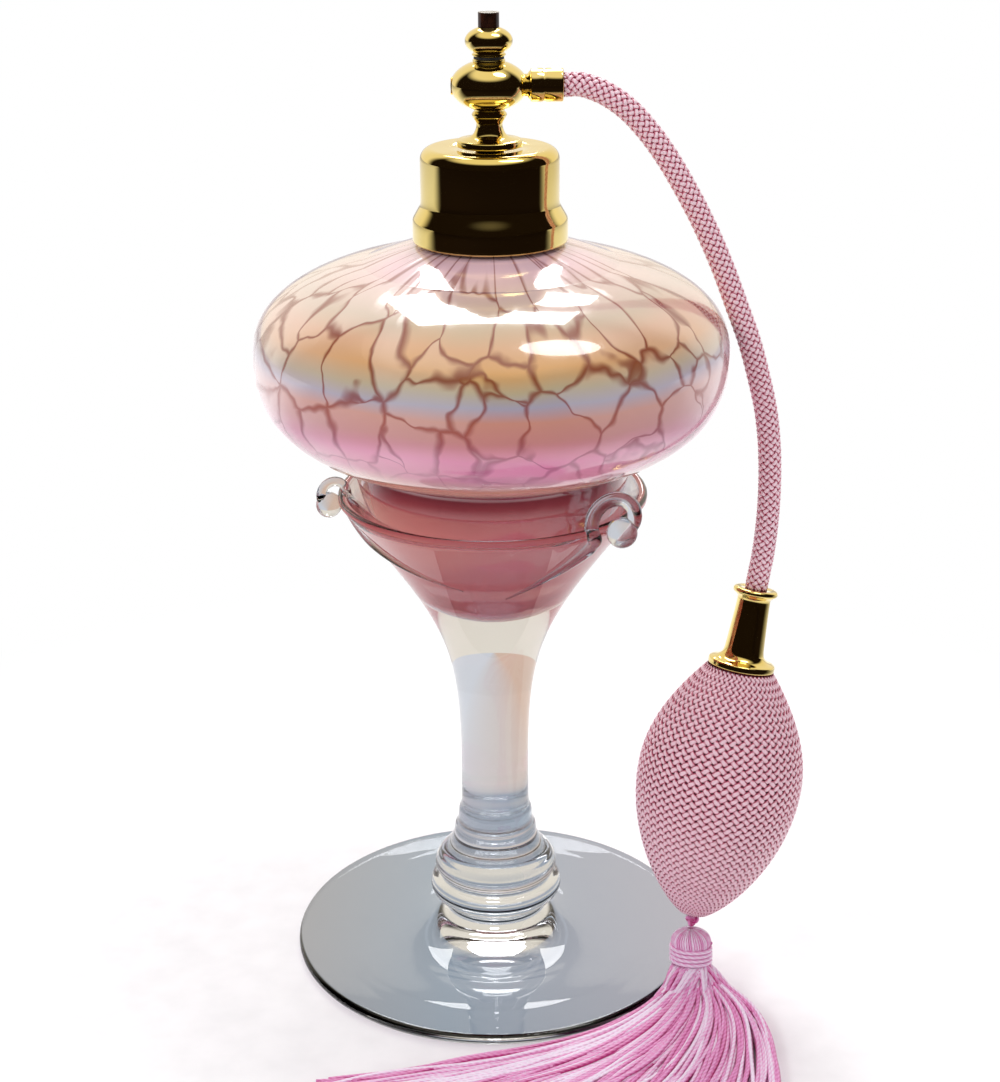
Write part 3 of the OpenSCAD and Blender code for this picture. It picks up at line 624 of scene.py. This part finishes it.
gap = add(tree, "ShaderNodeTexNoise", {"Vector": own, "Scale": 1.7, "Detail": 1.0}).outputs[0]
width = add(tree, "ShaderNodeMapRange", {"Value": gap, "From Min": 0.35, "From Max": 0.7, "To Min": 0.03,
                                         "To Max": 0.15}).outputs[0]
line = add(tree, "ShaderNodeMapRange", {"Value": crack, "From Min": 0.0, "From Max": width, "To Min": 1.0,
                                        "To Max": 0.0}, interpolation_type="SMOOTHSTEP").outputs[0]
fade = ramp(tree, share, at_heights([(77, "#000000"), (112, "#000000"), (118, "#C0C0C0"), (140, "#F4F4F4"),
                                     (147, "#D8D8D8")]))
line = add(tree, "ShaderNodeMath", {0: line, 1: fade}, operation="MULTIPLY").outputs[0]
rust = ramp(tree, share, at_heights([(110, "#6A1440"), (120, "#7A1C48"), (126, "#96260C"), (134, "#7C1C00"),
                                     (141, "#801E04"), (146, "#8C3C38")]))
print("crackle of", round(2 * math.pi * ROUND), "cells round the belly")

# %% [markdown]
# Each enamel cell is a little paler or darker than the next one. Where the wall turns away from the eye, the
# upper half gets a painted milky sheen. Each cell swells slightly, because the enamel shrank as it
# cooled.

# %% Flask piece
lit = add(tree, "ShaderNodeMath", {0: tile, 1: 0.25}, operation="MULTIPLY").outputs[0]
lit = add(tree, "ShaderNodeMath", {0: lit, 1: fade}, operation="MULTIPLY").outputs[0]
pale = add(tree, "ShaderNodeMix", {0: lit, 6: lustre_and_painted_light_bands, 7: "#FFFFFF"}, data_type="RGBA").outputs[2]
# Painted sheen: where the wall turns away from the eye, the upper half is mixed towards a milky pale pink.
edge_on = add(tree, "ShaderNodeLayerWeight", {"Blend": 0.35}).outputs["Facing"]
painted_edge_sheen = add(tree, "ShaderNodeMapRange", {"Value": share, "From Min": 0.5, "From Max": 0.62}).outputs[0]
painted_edge_sheen = add(tree, "ShaderNodeMath", {0: painted_edge_sheen, 1: edge_on}, operation="MULTIPLY").outputs[0]
painted_edge_sheen = add(tree, "ShaderNodeMath", {0: painted_edge_sheen, 1: 0.75}, operation="MULTIPLY").outputs[0]
pale = add(tree, "ShaderNodeMix", {0: painted_edge_sheen, 6: pale, 7: "#F8E4EA"}, data_type="RGBA").outputs[2]
skin = add(tree, "ShaderNodeMix", {0: line, 6: pale, 7: rust}, data_type="RGBA").outputs[2]
tree.links.new(skin, body.inputs["Base Color"])
dome = add(tree, "ShaderNodeMapRange", {"Value": crack, "From Max": 0.35},
           interpolation_type="SMOOTHSTEP").outputs[0]
bump(tree, body, dome, 0.0002, 0.35)

flask = turned_piece("flask_lustred", profile, lustre, 256, values={"cells": cells.reshape(-1, 3)})
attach(flask, "bottle")
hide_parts("flask", "neck")

# %% [markdown]
# ## Gold fittings
# The cap is spun from sheet, so its edges are rolled, not cut: a small round at the skirt's hem, a soft step
# and a round shoulder. The head is turned from bar: a flange, a waist, a ball, a smaller ball. Profiles with
# these small rounds catch a bright line along each edge, which a sharp corner can't.

# %% Cap
CAP_FOOT, CAP_TOP = 148.3, 165.5
cap = np.vstack([
    arc((14.05, CAP_FOOT + 0.35), 0.35, -90, 0, 6),
    softened([(14.4, 149.2), (14.4, 152.3), (14.1, 152.9), (13.1, 154.6), (12.8, 155.2), (12.8, 158)], 2),
    arc((10.6, CAP_TOP - 2.2), 2.2, 0, 90, 18), [[8, CAP_TOP], [2.65, CAP_TOP], [2.65, 164.8]],
    arc((10.6, CAP_TOP - 2.2), 1.5, 90, 0, 12), [[12.1, 155], [13.6, 152.2], [13.7, CAP_FOOT]],
])
cap = turned_piece("cap_spun", cap, gold, 256, loop=True)
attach(cap, "cap")
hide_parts("cap_shell")

# %% Head and finial
BALL_Z = 176.5
flange = np.vstack([[[0, 165.6], [5, 165.6]], arc((5.7, 165.9), 0.3, -90, 0, 5), arc((5.6, 166.5), 0.4, 0, 90, 6),
                    softened([(5.2, 166.9), (4.4, 167.1), (3.1, 167.5), (2.4, 168.9), (2.4, 169.9), (2.9, 170.6),
                              (3.3, 171.4), (2.75, 172.0)], 2)])
ball_angle = np.radians(np.linspace(-67, 66, 40))
ball = np.c_[7 * np.cos(ball_angle), BALL_Z + 4.6 * np.sin(ball_angle)]
collar = np.vstack([arc((2.6, 180.95), 0.35, -60, 90, 8), [[0, 181.3]]])
head = turned_piece("head_turned", np.vstack([flange, ball, collar]), gold, 192)
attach(head, "spray_head")
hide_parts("head")

lower = np.vstack([[[0, 181.8], [2.7, 181.8]], arc((2.8, 182.0), 0.25, -90, 60, 6)])
knob_angle = np.radians(np.linspace(-58, 62, 30))
knob = np.c_[4.3 * np.cos(knob_angle), 184.4 + 2.6 * np.sin(knob_angle)]
finial = turned_piece("finial_turned", np.vstack([lower, knob, [[1.95, 186.75], [0, 186.8]]]), gold, 160)
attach(finial, "finial_knob")
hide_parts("finial")


# %% Spigot
def to_spigot(points):
    """Lays a lathe along +X at the height of the big ball: (x, y, z) becomes (z, y, BALL_Z - x)."""
    return np.stack([points[..., 2], points[..., 1], BALL_Z - points[..., 0]], -1)


pipe = np.vstack([
    [[1.0, 3.0], [2.0, 3.0], [2.0, 6.9]], arc((2.75, 7.25), 0.25, 180, 90, 4), [[2.8, 7.5]],
    arc((2.8, 7.7), 0.2, -90, 0, 4), [[3.0, 9.5], [2.86, 9.8], [2.86, 10.1], [3.0, 10.4], [3.0, 12.9]],
    arc((2.7, 13.1), 0.3, 0, 90, 5), [[2.0, 13.4], [1.0, 13.3]],
])
spigot = turned_piece("spigot_turned", pipe, gold, 96, loop=True, place=to_spigot)
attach(spigot, "spray_head")
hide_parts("spigot")

# %% [markdown]
# ## The ferrule, the rubber bulb and its net
# The bulb hangs on its own leaning axis, so its pieces are turned upright and then placed by one matrix. The
# net is a braid like the hose's, of 46 threads each way over a dark rubber core. The threads thin out towards
# the ends, where the same number shares a smaller ring.

# %% Ferrule
c, s = math.cos(lean), math.sin(lean)
ch, sh = math.cos(heading), math.sin(heading)
bulb_turn = np.array([[c * ch, -sh, s * ch], [c * sh, ch, s * sh], [-s, 0, c]])


def to_bulb(points):
    """From the bulb's own upright frame to its leaning place: turn, then move to the tail."""
    return points @ bulb_turn.T + bulb_tail


FERRULE_TOP = BULB_LONG + FERRULE_LONG
ferrule = np.vstack([
    [[3.3, BULB_LONG], [6.0, BULB_LONG]], arc((6.1, BULB_LONG + 0.4), 0.4, -90, 0, 6),
    arc((6.1, BULB_LONG + 1.0), 0.4, 0, 80, 6),
    softened([(6.0, BULB_LONG + 1.5), (4.9, BULB_LONG + 1.8), (4.2, BULB_LONG + 2.4), (3.9, BULB_LONG + 3.1),
              (3.75, BULB_LONG + 4.5), (3.1, FERRULE_TOP - 1.9), (3.5, FERRULE_TOP - 1.6)], 2),
    arc((3.75, FERRULE_TOP - 0.6), 0.6, -70, 80, 10),
    [[3.4, FERRULE_TOP], [1.2, FERRULE_TOP], [1.2, FERRULE_TOP - 2.3], [2.3, FERRULE_TOP - 2.5],
     [2.3, BULB_LONG + 6.1], [3.3, BULB_LONG + 4]],
])
ferrule = turned_piece("ferrule_turned", ferrule, gold, 128, loop=True, place=to_bulb)
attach(ferrule, "bulb")
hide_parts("ferrule")


# %% Bulb
BULB_R = 16.3


def bulb_radius(z):
    """Radius of the net's outside: BULB_R sin(w)^p with w = 3 deg + 155 deg z / length, and p = 0.64 below the
    widest ring and 0.95 above it, so the tail is blunt and the shoulder slim."""
    w = np.radians(3 + 155.05 * z / BULB_LONG)
    return np.maximum(1.6, BULB_R * np.sin(w) ** np.where(w < np.pi / 2, 0.64, 0.95))


# the rubber's outside lies under the net, and its room inside ends above the tail's valve
z = np.linspace(0.5, BULB_LONG - 0.2, 60)
skin = np.c_[bulb_radius(z) - 0.8, z]
z = np.linspace(BULB_LONG - 6.5, 8.5, 40)
hollow = np.c_[np.maximum(bulb_radius(z) - 2.45, 3.3), z]
core = np.vstack([[[0, 0.4]], skin, [[3.3, BULB_LONG - 0.1], [3.3, BULB_LONG - 5]], hollow,
                  [[2.7, 8.0], [2.7, 2.9], [0, 2.9]]])
core = turned_piece("bulb_core", core, rose_latex, 96, place=to_bulb)
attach(core, "bulb")
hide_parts("bulb_rubber")

# %% [markdown]
# On its way down a net thread passes over ROWS of the others and under as many, at even steps along the wall.
# The space between neighbours is around x rise / length of the two, and a thread fills just under all of it.

# %% Net
NET, ROWS, NET_STEPS = 46, 37, 240
z = np.linspace(0.3, BULB_LONG - 0.3, 400)
wall = np.c_[bulb_radius(z), z]
s = np.concatenate([[0], np.cumsum(np.linalg.norm(np.diff(wall, axis=0), axis=1))])
w = np.linspace(0, ROWS, NET_STEPS)
net_z = np.interp(w / ROWS * s[-1], s, z)
net_r = bulb_radius(net_z)
around, rise = 2 * np.pi * net_r / NET, s[-1] / ROWS
space = around * rise / np.hypot(around, rise)
half = np.minimum(0.56, 0.46 * space)
high = np.minimum(0.3, 0.62 * half)
for sign, name in ((1, "net_right_lay"), (-1, "net_left_lay")):
    swing = sign * np.cos(2 * np.pi * w)
    a = 2 * np.pi * (np.arange(NET)[:, None] + sign * w) / NET
    r = net_r - 2 * high - 0.02 + high * 0.9 * swing
    line = np.stack([r * np.cos(a), r * np.sin(a), np.broadcast_to(net_z, a.shape)], -1)
    out = np.stack([np.cos(a), np.sin(a), 0 * a], -1)
    # Painted light and shade: a thread is lighter where it passes over another and darker where it dips under.
    tone_and_shade = 0.55 + 0.4 * swing + 0 * a
    net = threads_piece(name, to_bulb(line), out @ bulb_turn.T, half, high, net_yarn, tone_and_shade)
    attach(net, "bulb")
    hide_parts("bulb_net")

# %% [markdown]
# The rubber core and the two net lays each get a mesh of their own.

# %% Own meshes
for name in ("bulb_core", "net_right_lay", "net_left_lay"):
    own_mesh(bpy.data.objects[name])

# %% [markdown]
# ## The tassel
# A hank of silk is doubled over, bound with a few turns of cord to make the head, and cut to one length. The
# knot above it is a real knot, the trefoil. Each of the fringe's threads is its own line: it starts at its
# own place in the bundle, falls to the table, and follows its own share of a fan that opens round the edge of
# the foot. Threads from the back of the bundle lie on top of those from the front, as they do when a tassel
# is laid down.

# %% Knot
knot_middle = bulb_tail + [-0.1, -0.2, -1.5]
t = np.linspace(0, 2 * np.pi, 121)
trefoil = np.stack([np.sin(t) + 2 * np.sin(2 * t), -np.sin(3 * t), np.cos(t) - 2 * np.cos(2 * t)], -1)
knot = 0.34 * trefoil + knot_middle
out = unit(knot - knot_middle)
knot = threads_piece("knot_tied", knot[None], out[None], 0.46, 0.46, fringe_yarn, 0.35, sides=10)
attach(knot, "bulb")
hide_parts("hanging_knot")

# %% Tassel head
TASSEL_TOP = bulb_tail + [-0.3, -0.6, -3.1]
tilt = math.radians(-12)
tassel_turn = np.array([[1, 0, 0], [0, math.cos(tilt), -math.sin(tilt)], [0, math.sin(tilt), math.cos(tilt)]])


def to_tassel(points):
    """From the tassel's own hanging frame to its leaning place."""
    return points @ tassel_turn.T + TASSEL_TOP


WRAPPED = 48
t = np.linspace(0, 1, 40)
head_line = softened([(0.5, -0.3), (1.9, -0.5), (3.3, -1.3), (3.85, -2.5), (3.5, -3.6), (3.4, -6.0),
                      (3.6, -7.4), (4.1, -8.6)], 3)
head_line = through(np.c_[head_line, 0 * head_line[:, :1]], 40)[0]
a = 2 * np.pi * np.arange(WRAPPED)[:, None] / WRAPPED + 0.35 * t
r = head_line[:, 0] + 0 * a
line = np.stack([r * np.cos(a), r * np.sin(a), head_line[:, 1] + 0 * a], -1)
out = np.stack([np.cos(a), np.sin(a), 0.4 + 0 * a], -1)
tone_and_shade = np.random.default_rng(4).uniform(0.3, 0.95, WRAPPED)
cover = turned(np.c_[head_line[:, 0] - 0.15, head_line[:, 1]], 48)
half = np.minimum(0.34, 0.6 * 2 * np.pi * head_line[:, 0] / WRAPPED)
# Painted shade: the sheet under the head's threads takes the yarn's darkest colour, the shade of the gaps between
# them.
under_threads = (to_tassel(cover), grid_faces(40, 48, loop_columns=True), 0.0)
head_threads = threads_piece("tassel_head_threads", to_tassel(line), unit(out) @ tassel_turn.T, half, 0.3,
                             fringe_yarn, tone_and_shade, extra=under_threads)
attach(head_threads, "tassel")
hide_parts("tassel_head")

# %% Tassel binding
t = np.linspace(0, 1, 260)
a = 2 * np.pi * 4 * t
line = np.stack([3.85 * np.cos(a), 3.85 * np.sin(a), -3.3 - 3.4 * t], -1)
out = np.stack([np.cos(a), np.sin(a), 0 * a], -1)
binding = threads_piece("tassel_binding", to_tassel(line)[None], (out @ tassel_turn.T)[None], 0.42, 0.5,
                        fringe_yarn, 0.75, sides=10)
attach(binding, "tassel")
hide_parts("tassel_wraps")

# %% [markdown]
# Three lines set out on the table give the fan: the thread nearest the foot, a middle one and the
# farthest. Each thread takes its own share of the way between them, its own length, and a slow sway of two
# waves.

# %% Fringe fan
THREADS, FRINGE_STEPS, THICK = 240, 64, 0.5
near_foot = [[38.9, -22.0], [32.5, -28.8], [26.5, -34.6], [17.5, -40.4], [6, -44.9], [-7, -48.5], [-22, -51.9],
             [-38, -54.6]]
between = [[39.5, -22.6], [36, -33], [28, -44], [16, -55], [2, -64], [-8, -73]]
far_out = [[40.2, -22.4], [46, -26.5], [51.5, -35], [53.5, -47], [52, -61], [45, -76], [34, -88]]
t = np.linspace(0, 1, FRINGE_STEPS)


def evenly(points):
    """A smooth line on the table through points, with FRINGE_STEPS stations at equal distances."""
    flat = np.array(points, float)
    fine = through(np.c_[flat, 0 * flat[:, :1]], 101)[0]
    return np.stack([np.interp(t, np.linspace(0, 1, 101), fine[:, k]) for k in (0, 1)], -1)


near_foot, between, far_out = evenly(near_foot), evenly(between), evenly(far_out)
rng = np.random.default_rng(11)
share = (np.arange(THREADS) + rng.uniform(0.1, 0.9, THREADS)) / THREADS
share = share[:, None, None]
fan = near_foot + (between - near_foot) * np.clip(share * 2, 0, 1)
fan = fan + (far_out - between) * np.clip(share * 2 - 1, 0, 1)
reach = rng.uniform(0.93, 1.03, THREADS)[:, None, None]
fan = fan[:, :1] + (fan - fan[:, :1]) * reach
sideways = unit(np.stack([-np.gradient(fan[..., 1], axis=1), np.gradient(fan[..., 0], axis=1)], -1))
phase, waves = rng.uniform(0, 2 * np.pi, (2, THREADS, 1))
sway = (0.9 * np.sin(2 * np.pi * 1.1 * t + phase) + 0.5 * np.sin(2 * np.pi * 2.3 * t + waves)) * t**0.8
fan = fan + sideways * (sway * rng.uniform(0.4, 1.6, (THREADS, 1)))[..., None]
print("fan of", THREADS, "threads")

# %% [markdown]
# A thread starts at its own place in the head's underside, and goes from there to its line in the fan within
# the first fifth of its length. Its height falls with the soft step 1 - f^2 (3 - 2 f), down to where it lies:
# on the table, or on the threads below it. No thread may cross the foot, so a point that would is pushed out
# to its edge.

# %% Fringe fall
HEAD_LOW, HEAD_R = -7.2, 3.6
goes = np.arctan2(fan[:, 30, 1] - fan[:, 0, 1], fan[:, 30, 0] - fan[:, 0, 0])
start_a = goes + np.pi * rng.uniform(-1, 1, THREADS)
start_r = HEAD_R * np.sqrt(rng.uniform(0.15, 1, THREADS))
base = np.stack([start_r * np.cos(start_a), start_r * np.sin(start_a), np.full(THREADS, HEAD_LOW)], -1)
base = to_tassel(base)
gather = np.clip(1 - t / 0.2, 0, 1) ** 2 * (1 + 2 * t / 0.2)
plan = fan + (base[:, None, :2] - fan[:, :1]) * gather[:, None]
stack = 0.5 - 0.5 * np.cos(start_a - goes)
lies = THICK + 0.05 + stack[:, None] * (3.4 * np.exp(-t / 0.22) + 1.0 - 0.5 * t)
fall = np.clip(t / 0.13, 0, 1)
fall = 1 - fall**2 * (3 - 2 * fall)
rise = lies + (base[:, 2:] - lies) * fall
radius = np.hypot(plan[..., 0], plan[..., 1])
plan = plan * (np.maximum(radius, FOOT_R + THICK + 0.3) / radius)[..., None]
line = np.concatenate([plan, rise[..., None]], -1)
lengths = np.linalg.norm(np.diff(line, axis=1), axis=-1).sum(1)
print("fringe threads from", round(lengths.min()), "to", round(lengths.max()), "mm long")

# %% Fringe piece
tone_and_shade = rng.uniform(0.2, 1.05, THREADS)
out = np.zeros_like(line) + [0.02, 0.01, 1.0]
thin = THICK * (1 - 0.12 * rng.uniform(0, 1, (THREADS, 1))) + 0 * t
fringe = threads_piece("tassel_fringe_threads", line, out, thin, thin, fringe_yarn, tone_and_shade)
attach(fringe, "tassel")
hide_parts("tassel_fringe")

# %% [markdown]
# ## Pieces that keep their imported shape
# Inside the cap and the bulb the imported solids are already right: rings, tubes and balls. They only get their
# materials.

# %% Materials of the kept pieces
kept = {
    gold: ["neck_collar"], bare_brass: ["shank", "nozzle", "bulb_barb", "inlet_valve", "finial_screw"],
    steel: ["shank_clip", "outlet_ball", "inlet_ball"], nitrile: ["gasket", "finial_seal"],
    white_plastic: ["swivel_plate", "cap_liner"], milky_tube: ["dip_tube"], tip_lacquer: ["finial_tip"],
}
for material, names in kept.items():
    for name in names:
        slots = nodes[name].data.materials
        slots.clear()
        slots.append(material)
print("kept", sum(len(v) for v in kept.values()), "packed pieces")

# %% [markdown]
# ## Table, room and lamps
# A pale table that runs far back, a pale room, two soft windows overhead and a small low one behind, which
# give the flask its white reflections. A studio hides black and white cards round polished metal and glass,
# because they only look like metal and glass with something dark and something pale to show. The Light Path
# node stands for the cards: it tells what a ray is for, and so the table and the room show each kind of ray
# its own colour.

# %% Table paper
table, tree, body = new_material("table_matt_paper", Roughness=0.9)
place = add(tree, "ShaderNodeTexCoord").outputs["Object"]
sides = add(tree, "ShaderNodeSeparateXYZ", {0: place}).outputs
distance = add(tree, "ShaderNodeVectorMath", {0: place}, operation="LENGTH").outputs["Value"]
ray = add(tree, "ShaderNodeLightPath").outputs
speck = add(tree, "ShaderNodeTexNoise", {"Vector": place, "Scale": 120.0, "Detail": 4.0}).outputs[0]
tree.links.new(ramp(tree, speck, [(0.3, "#F4F4F3"), (0.7, "#FBFBFA")]), body.inputs["Base Color"])
print("paper", table.name)

# %% [markdown]
# Painted reflection: a mirror sees the table dark away from the bottle, on the camera's side, though the paper is
# pale.

# %% Table in mirrors
away = add(tree, "ShaderNodeMapRange", {"Value": distance, "From Min": 0.10, "From Max": 0.22},
           interpolation_type="SMOOTHSTEP").outputs[0]
front = add(tree, "ShaderNodeMapRange", {"Value": sides["Y"], "From Min": 0.25, "From Max": -0.05},
            interpolation_type="SMOOTHSTEP").outputs[0]
dark = add(tree, "ShaderNodeMath", {0: away, 1: front}, operation="MULTIPLY").outputs[0]
dark = add(tree, "ShaderNodeMath", {0: dark, 1: ray["Is Glossy Ray"]}, operation="MULTIPLY").outputs[0]
# Painted reflection: the dark colour that only mirrors see on the table.
shade = add(tree, "ShaderNodeBsdfDiffuse", {"Color": "#1C1410"})
shown = add(tree, "ShaderNodeMixShader", {0: dark, 1: body.outputs[0], 2: shade.outputs[0]})

# %% [markdown]
# Painted light: through glass the table is a glow of its own rather than lit paper: blue-grey in the middle
# under the foot, and cream to grey past it.

# %% Table through glass
# Painted light: for rays that come through glass the table glows with these colours.
across = add(tree, "ShaderNodeMapRange", {"Value": sides["X"], "From Min": -0.05, "From Max": 0.05}).outputs[0]
under_foot = ramp(tree, across, [(0.1, "#B0AFB0"), (0.4, "#A9B6C2"), (0.9, "#C2BEC6")])
across = add(tree, "ShaderNodeMapRange", {"Value": sides["X"], "From Min": -0.12, "From Max": 0.12}).outputs[0]
behind = ramp(tree, across, [(0.1, "#EACBB4"), (0.5, "#E2D8D2"), (0.9, "#E4E6EA")])
past_foot = add(tree, "ShaderNodeMapRange", {"Value": distance, "From Min": 0.05, "From Max": 0.07}).outputs[0]
painted_glow_through_glass = add(tree, "ShaderNodeMix", {0: past_foot, 6: under_foot, 7: behind}, data_type="RGBA").outputs[2]
painted_glow_through_glass = add(tree, "ShaderNodeEmission", {"Color": painted_glow_through_glass, "Strength": 1.04})
shown = add(tree, "ShaderNodeMixShader", {0: ray["Is Transmission Ray"], 1: shown.outputs[0],
                                          2: painted_glow_through_glass.outputs[0]})

# %% [markdown]
# The camera sees plain white paper from about a bottle's height away, and real paper with its shadows close
# by.

# %% Table and its mesh
white = add(tree, "ShaderNodeEmission", {"Color": "#FFFFFF", "Strength": 1.0})
far = add(tree, "ShaderNodeMapRange", {"Value": distance, "From Min": 0.09, "From Max": 0.2},
          interpolation_type="SMOOTHSTEP").outputs[0]
far = add(tree, "ShaderNodeMath", {0: far, 1: ray["Is Camera Ray"]}, operation="MULTIPLY").outputs[0]
surface(tree, add(tree, "ShaderNodeMixShader", {0: far, 1: shown.outputs[0], 2: white.outputs[0]}))
floor_mesh = bpy.data.meshes.new("table")
LEFT, RIGHT, FRONT, BACK, UNDER = -4, 4, -2.5, 5, -0.0001
corners = [(LEFT, FRONT, UNDER), (RIGHT, FRONT, UNDER), (RIGHT, BACK, UNDER), (LEFT, BACK, UNDER)]
floor_mesh.from_pydata(corners, [], [(0, 1, 2, 3)])
floor_mesh.materials.append(table)
floor = bpy.data.objects.new("table", floor_mesh)
bpy.context.scene.collection.objects.link(floor)
print("table", RIGHT - LEFT, "by", BACK - FRONT, "m")

# %% [markdown]
# A mirror sees a dark room with a bright back wall and ceiling, glass shows the same in greys, matt surfaces
# get an even pale light, and the camera sees white.

# %% Room
world = bpy.data.worlds.new("room")
world.use_nodes = True
bpy.context.scene.world = world
tree = world.node_tree
tree.nodes.clear()
way = add(tree, "ShaderNodeTexCoord").outputs["Generated"]
way = add(tree, "ShaderNodeSeparateXYZ", {0: way}).outputs
ray = add(tree, "ShaderNodeLightPath").outputs
back = add(tree, "ShaderNodeMapRange", {"Value": way["Y"], "From Min": 0.30, "From Max": 0.62},
           interpolation_type="SMOOTHSTEP").outputs[0]
ceiling = add(tree, "ShaderNodeMapRange", {"Value": way["Z"], "From Min": 0.70, "From Max": 0.92},
              interpolation_type="SMOOTHSTEP").outputs[0]
bright = add(tree, "ShaderNodeMath", {0: back, 1: ceiling}, operation="MAXIMUM").outputs[0]
in_mirrors = add(tree, "ShaderNodeMix", {0: bright, 6: "#1A120C", 7: "#FFF6E4"}, data_type="RGBA").outputs[2]
through_glass = add(tree, "ShaderNodeMix", {0: bright, 6: "#77706F", 7: "#D8D2D3"}, data_type="RGBA").outputs[2]
colour = add(tree, "ShaderNodeMix", {0: ray["Is Camera Ray"], 6: "#CFCCD0", 7: "#FFFFFF"},
             data_type="RGBA").outputs[2]
colour = add(tree, "ShaderNodeMix", {0: ray["Is Transmission Ray"], 6: colour, 7: through_glass},
             data_type="RGBA").outputs[2]
colour = add(tree, "ShaderNodeMix", {0: ray["Is Glossy Ray"], 6: colour, 7: in_mirrors},
             data_type="RGBA").outputs[2]
sky = add(tree, "ShaderNodeBackground", {"Color": colour, "Strength": 1.0})
add(tree, "ShaderNodeOutputWorld", {"Surface": sky.outputs[0]})
print("room", world.name)

# %% [markdown]
# Every lamp is an area lamp that faces the flask's belly. The fill on the left only lights: no mirror shows
# it.

# %% Lamps
BELLY = np.array([0, 0, 0.13])


def lamp(name, direction, distance, size, brightness, shape="RECTANGLE"):
    """An area lamp that faces the flask. Power = radiance x pi x area: brightness is what a mirror shows."""
    light = bpy.data.lights.new(name, "AREA")
    light.shape = shape
    light.size, light.size_y = size
    area = size[0] * size[1] * (math.pi / 4 if shape == "ELLIPSE" else 1)
    light.energy = brightness * math.pi * area
    holder = bpy.data.objects.new(name, light)
    bpy.context.scene.collection.objects.link(holder)
    z = unit(np.array(direction, float))
    x = unit(np.cross([0, 1.0, 0.2], z))
    y = np.cross(z, x)
    spot = Matrix.Translation((BELLY + distance * z).tolist())
    holder.matrix_world = spot @ Matrix(np.stack([x, y, z], -1).tolist()).to_4x4()
    holder.visible_camera = False
    print(name, round(light.energy, 2), "W")
    return holder


lamp("window_behind", (0.0, 0.62, 0.78), 0.9, (0.46, 0.40), 8.0)
lamp("round_window", (0.33, 0.02, 0.943), 0.8, (0.34, 0.26), 6.0, "ELLIPSE")
lamp("small_window", (0.02, 0.946, 0.324), 1.0, (0.08, 0.08), 12.0)
fill = lamp("left_fill", (-0.75, -0.5, 0.6), 1.0, (0.25, 0.5), 5.0)
fill.visible_glossy = False
bpy.context.scene.view_settings.view_transform = "Standard"
